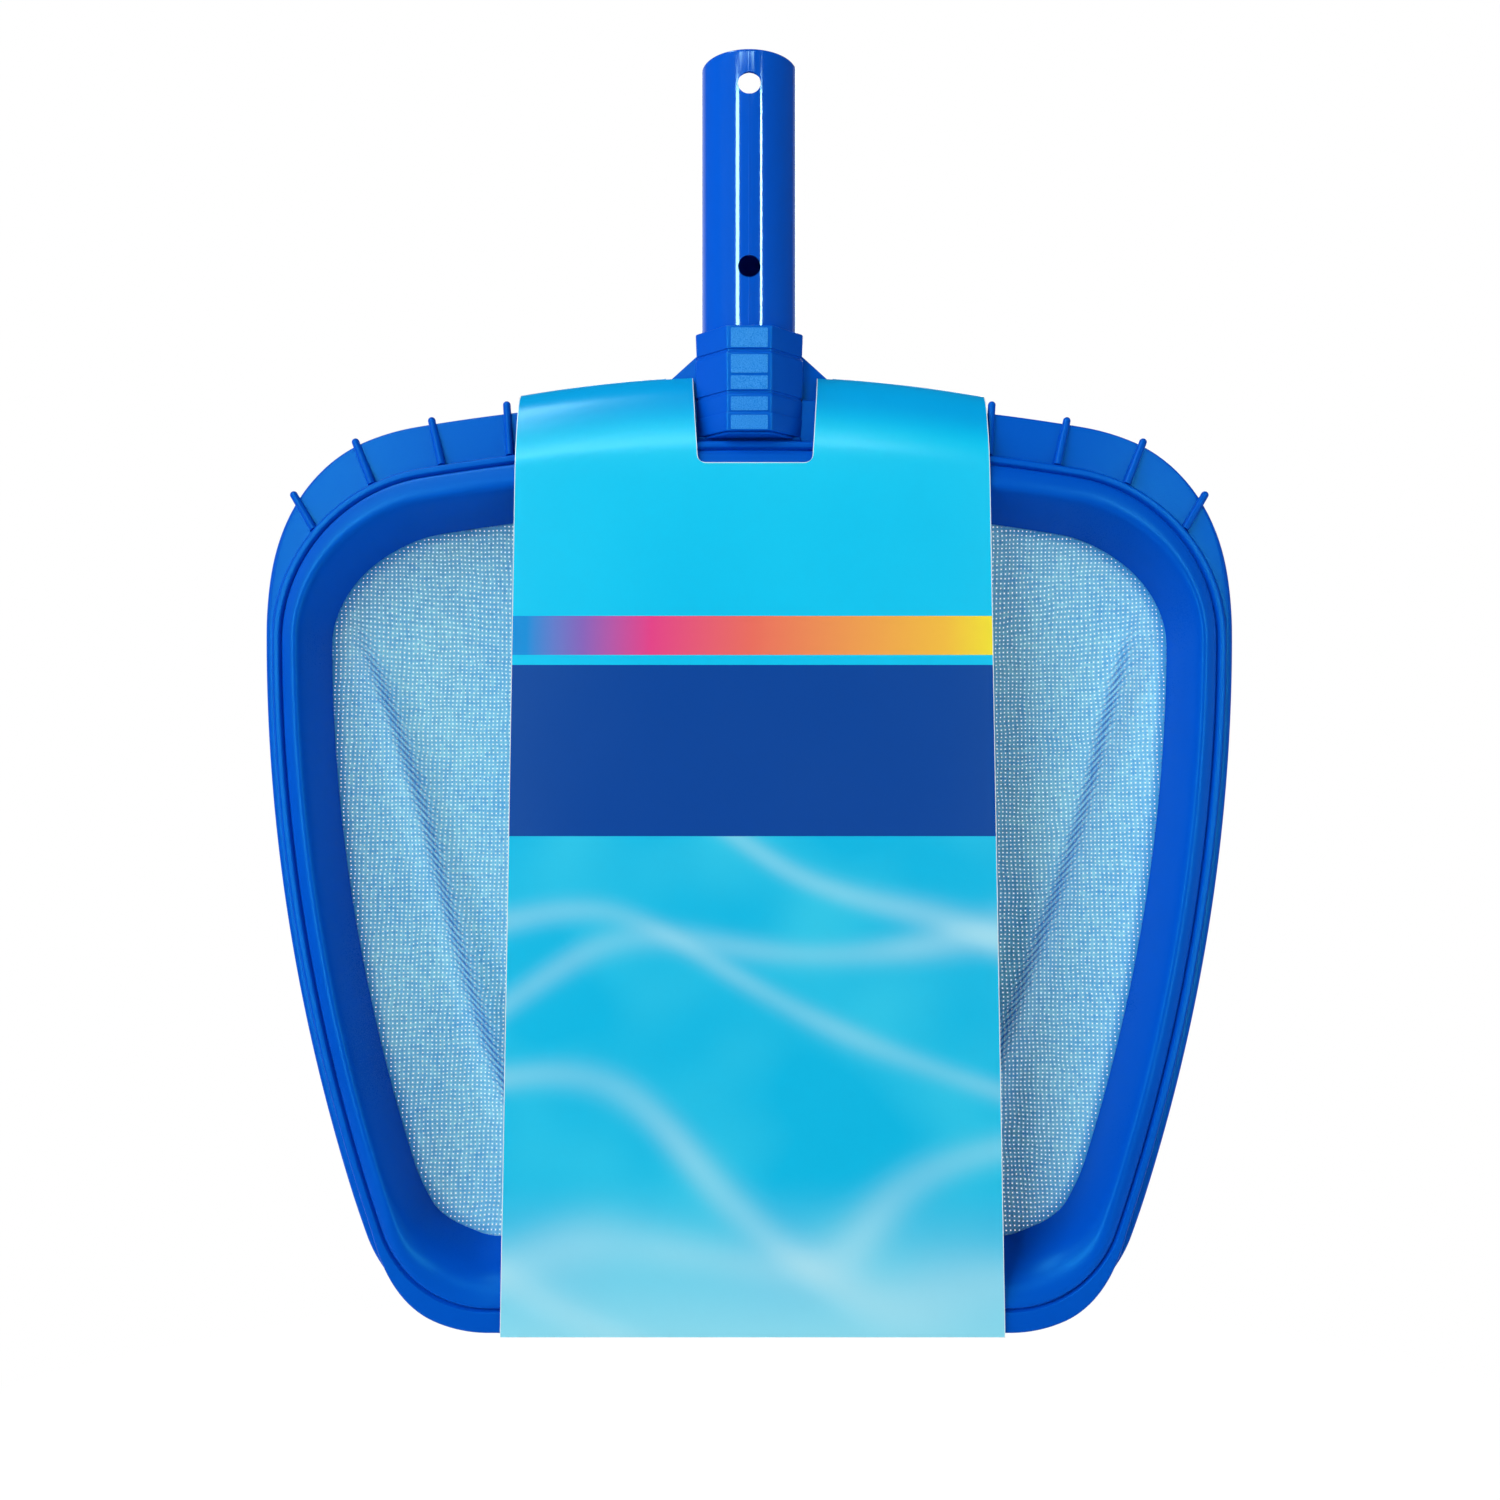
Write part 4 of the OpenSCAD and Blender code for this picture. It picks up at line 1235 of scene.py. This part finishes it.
card_bent = smooth_line(card_guides, CARD_CUTS)
card_front = np.linspace(card_bent[-1], card_bent[0], CARD_FRONT_STEPS + 1)[1:-1]
card_line = np.concatenate([card_bent, card_front])
card_count = len(card_line)
card_step = np.linalg.norm(np.roll(card_line, -1, axis=0) - card_line, axis=1)
card_way = np.roll(card_line, -1, axis=0) - np.roll(card_line, 1, axis=0)
card_inward = np.stack([card_way[:, 1], -card_way[:, 0]], axis=1)
card_inward /= np.linalg.norm(card_way, axis=1)[:, None]
print("band of card:", round(card_step.sum(), 1), "mm round,", card_count, "points")

# %% Card with its thickness and its map
card_seam, card_total = 9 * CARD_CUTS, card_step.sum()
card_run = np.concatenate([[0], np.cumsum(card_step)])[:card_count]
card_past = np.arange(card_count) > card_seam
card_from = card_run - np.where(card_past, card_total, 0) + card_line[0, 1]
card_to = card_from + card_step
card_x = CARD_SHIFT + CARD_W * (np.arange(CARD_COLUMNS + 1) / CARD_COLUMNS - 0.5)
card_points = []
for behind in (0, CARD_T):
    line = card_line + card_inward * behind
    for x in card_x:
        fall = CARD_DROOP * (CROWN_R - np.sqrt(CROWN_R ** 2 - x * x))
        fall = fall * ease(CROWN_V - 35, CROWN_V + 15, line[:, 1])
        card_points.append(np.stack([np.full(card_count, x), line[:, 0], line[:, 1] - fall], axis=1))
card_points = np.concatenate(card_points)
card_skin = (CARD_COLUMNS + 1) * card_count
card_faces, card_kinds, card_maps = [], [], []
for i in range(CARD_COLUMNS + 1):
    for j in range(card_count):
        a, b = i * card_count + j, i * card_count + (j + 1) % card_count
        if i in (0, CARD_COLUMNS):
            edge = (a, a + card_skin, b + card_skin, b)
            card_faces.append(edge if i == 0 else edge[::-1])
            card_kinds.append(1)
            card_maps += [(card_points[a, 0], card_from[j])] * 4
        if i == CARD_COLUMNS:
            continue
        c, d = b + card_count, a + card_count
        x0, x1, w0, w1 = card_x[i], card_x[i + 1], card_from[j], card_to[j]
        card_faces += [(a, b, c, d), (a + card_skin, d + card_skin, c + card_skin, b + card_skin)]
        card_kinds += [0, 1]
        card_maps += [(x0, w0), (x0, w1), (x1, w1), (x1, w0), (x0, w0), (x1, w0), (x1, w1), (x0, w1)]
card_mesh = bpy.data.meshes.new("card_wrap")
card_mesh.from_pydata((to_part(card_points) * MM).tolist(), [], card_faces)
for material in (card_print, card_board):
    card_mesh.materials.append(material)
card_mesh.polygons.foreach_set("material_index", card_kinds)
card_maps = (np.array(card_maps) * MM).astype(np.float32)
card_mesh.uv_layers.new(name="card").data.foreach_set("uv", card_maps.ravel())
card_wrap = show("card_wrap", card_mesh)
print("card_wrap:", len(card_mesh.polygons), "faces before its windows")

# %% Windows for the handle
STRAP_T, STRAP_IN, REAR_DROP = 6.5, COLLAR_AF / 2 + 9, 12
window_half = WINDOW_W / 2
window_wider = window_half + window_flare * (WINDOW_TOP - window_low)
front_window = four_sided(
    window_low, WINDOW_TOP, window_half, window_wider, WINDOW_R, 0, middle=WINDOW_SHIFT)
rear_window = four_sided(CROWN_V - REAR_DROP, WINDOW_TOP, STRAP_IN, STRAP_IN, 1.5, 0)
for corners, depths in ((front_window, (-30, STRAP_T)), (rear_window, (STRAP_T - 0.01, 60))):
    flat = rounded_flat(corners, cuts=6)
    knife_points = to_part([(x, t, v) for t in depths for x, v in flat])
    knife = new_piece("knife", knife_points, stack_faces(2, len(flat)), card_board)
    cut_away(card_wrap, knife, sharp=35, materials="TRANSFER")
    bpy.data.objects.remove(knife)
smooth(card_wrap, 35)
print("card_wrap:", len(card_wrap.data.polygons), "faces;", [m.name for m in card_wrap.data.materials])

# %% [markdown]
# ## Floor, world and lamps
# A soft studio: a pale floor well below the part, a white surround for what the
# camera sees, and a few large lamps. The world's light is plain and even. White
# comes from the surround's own colour, never from more light on the part.

# %% World
AIR_PLAIN, AIR_BEHIND = 0.05, (0.55, 0.95)


def mix_shaders(tree, share, first, second, end):
    """Mixes two shaders by a wire and hands the result to the output."""
    mix = add(tree, "ShaderNodeMixShader", {0: share, 1: first.outputs[0], 2: second.outputs[0]})
    fill(end.inputs[0], mix.outputs[0])


world = bpy.data.worlds.new("studio")
bpy.context.scene.world = world
world.use_nodes = True
air = world.node_tree
air.nodes.clear()
air_rays = {s.name: Wire(s) for s in add(air, "ShaderNodeLightPath").outputs}
air_way = Wire(add(air, "ShaderNodeTexCoord").outputs["Generated"])
air_mirror = air_rays["Is Glossy Ray"] * spread(axes(air_way)[1], *AIR_BEHIND)
air_mirror = reckon("MAXIMUM", air_mirror, air_rays["Is Transmission Ray"])
air_seen = reckon("MAXIMUM", air_rays["Is Camera Ray"], air_mirror)
air_plain, air_white = [
    add(air, "ShaderNodeBackground", {0: (1, 1, 1), 1: strength}) for strength in (AIR_PLAIN, 1.0)
]
mix_shaders(air, air_seen, air_plain, air_white, add(air, "ShaderNodeOutputWorld"))
print("world:", len(air.nodes), "nodes")

# %% Floor
FLOOR_Z, FLOOR_HALF, FLOOR_GLOW, FLOOR_FADE = -750, 6, 0.4, (0.9, 1.4)
floor_mesh = bpy.data.meshes.new("floor")
floor_corners = [
    (x * FLOOR_HALF, y * FLOOR_HALF, FLOOR_Z * MM) for x, y in ((-1, -1), (1, -1), (1, 1), (-1, 1))
]
floor_mesh.from_pydata(floor_corners, [], [(0, 1, 2, 3)])
floor_paint, floor_tree, floor_shader = new_material("floor_paint", (0.86, 0.86, 0.86), 0.8)
floor_rays = {s.name: Wire(s) for s in add(floor_tree, "ShaderNodeLightPath").outputs}
floor_seen = reckon("MAXIMUM", floor_rays["Is Camera Ray"], floor_rays["Is Transmission Ray"])
floor_reach = add(
    floor_tree, "ShaderNodeVectorMath", {0: object_place(floor_tree)}, operation="LENGTH")
floor_share = floor_seen * spread(Wire(floor_reach.outputs["Value"]), *FLOOR_FADE)
fill(floor_shader.inputs["Emission Color"], (1, 1, 1))
fill(floor_shader.inputs["Emission Strength"], floor_seen * FLOOR_GLOW)
floor_white = add(floor_tree, "ShaderNodeEmission", {0: (1, 1, 1), 1: 1.0})
mix_shaders(floor_tree, floor_share, floor_shader, floor_white, floor_tree.nodes["Material Output"])
floor_mesh.materials.append(floor_paint)
floor = show("floor", floor_mesh)
print("floor at", FLOOR_Z, "mm")

# %% [markdown]
# The lamps are of three kinds. Large ones give light alone, so that their
# reflections don't veil the saturated blue. Narrow ones give gloss alone: they
# are the bright lines on the tube and the sheen on the bent card. One behind
# gives both, and keeps the back of the net readable.

# %% Lamps
HEAD_AIM, TUBE_AIM, ROLL_AIM = (0, 0, -110), (0, 0, 20), (0, 0, -20)


def softbox(name, place, size, watts, aim=HEAD_AIM, gives="both"):
    """A rectangular lamp that faces a point; it may give light or gloss alone."""
    data = bpy.data.lights.new(name, "AREA")
    data.shape, data.size, data.size_y = "RECTANGLE", size[0] * MM, size[1] * MM
    data.energy = watts
    lamp = show(name, data)
    lamp.location = Vector(place) * MM
    lamp.rotation_euler = (Vector(aim) - Vector(place)).to_track_quat("-Z", "Y").to_euler()
    lamp.visible_glossy, lamp.visible_diffuse = gives != "light", gives != "gloss"
    lamp.visible_transmission = False


softbox("key", (-1250, -1100, 1000), (1600, 1600), 40, gives="light")
softbox("left", (-1500, 60, 0), (1000, 1000), 5.5, gives="light")
softbox("right", (1400, -700, 0), (1000, 1000), 7.5, gives="light")
softbox("fill", (100, -1800, 150), (1200, 1200), 3, gives="light")
softbox("back", (300, 1500, 300), (1200, 1200), 12)
softbox("rear", (-500, 1600, 300), (1200, 1200), 7, gives="light")
softbox("roll", (-100, -950, 650), (600, 130), 1.9, aim=ROLL_AIM, gives="gloss")
softbox("sheen", (-650, -650, 1300), (700, 400), 8, gives="gloss")
softbox("strip_left", (-470, -880, 108), (130, 865), 6.0, aim=TUBE_AIM, gives="gloss")
softbox("strip_right", (478, -890, 108), (62, 865), 5.0, aim=TUBE_AIM, gives="gloss")
bpy.context.scene.view_settings.view_transform = "Standard"

# %% [markdown]
# ## Joining the pieces to the frame
# Nothing on this net moves, so every piece rides on the one body. Each row lists a
# piece, the CAD node whose imported part it replaces, and the material slot it would finish, which nothing
# here applies.

# %% Ride and replace
PIECES = (
    (front_rim, "front_ring", "frame_plastic"),
    (rear_shell, "rear_frame", "frame_plastic"),
    (gussets[0], "rear_frame", "frame_plastic"),
    (gussets[1], "rear_frame", "frame_plastic"),
    (neck_fairing, "rear_frame", "frame_plastic"),
    (neck_spigot, "rear_frame", "frame_plastic"),
    (flange_ribs, "rear_frame", "frame_plastic"),
    (net_sheet, "net", "mesh"),
    (spigot_tube, "handle_tube", "handle_plastic"),
    (collar_block, "collar", "collar_plastic"),
    (collar_pads, "collar", "collar_plastic"),
    (card_wrap, "card_sleeve", "card"),
)
for piece, node, slot in PIECES:
    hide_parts(node)
    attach(piece, "root")
print("pieces:", len(PIECES))
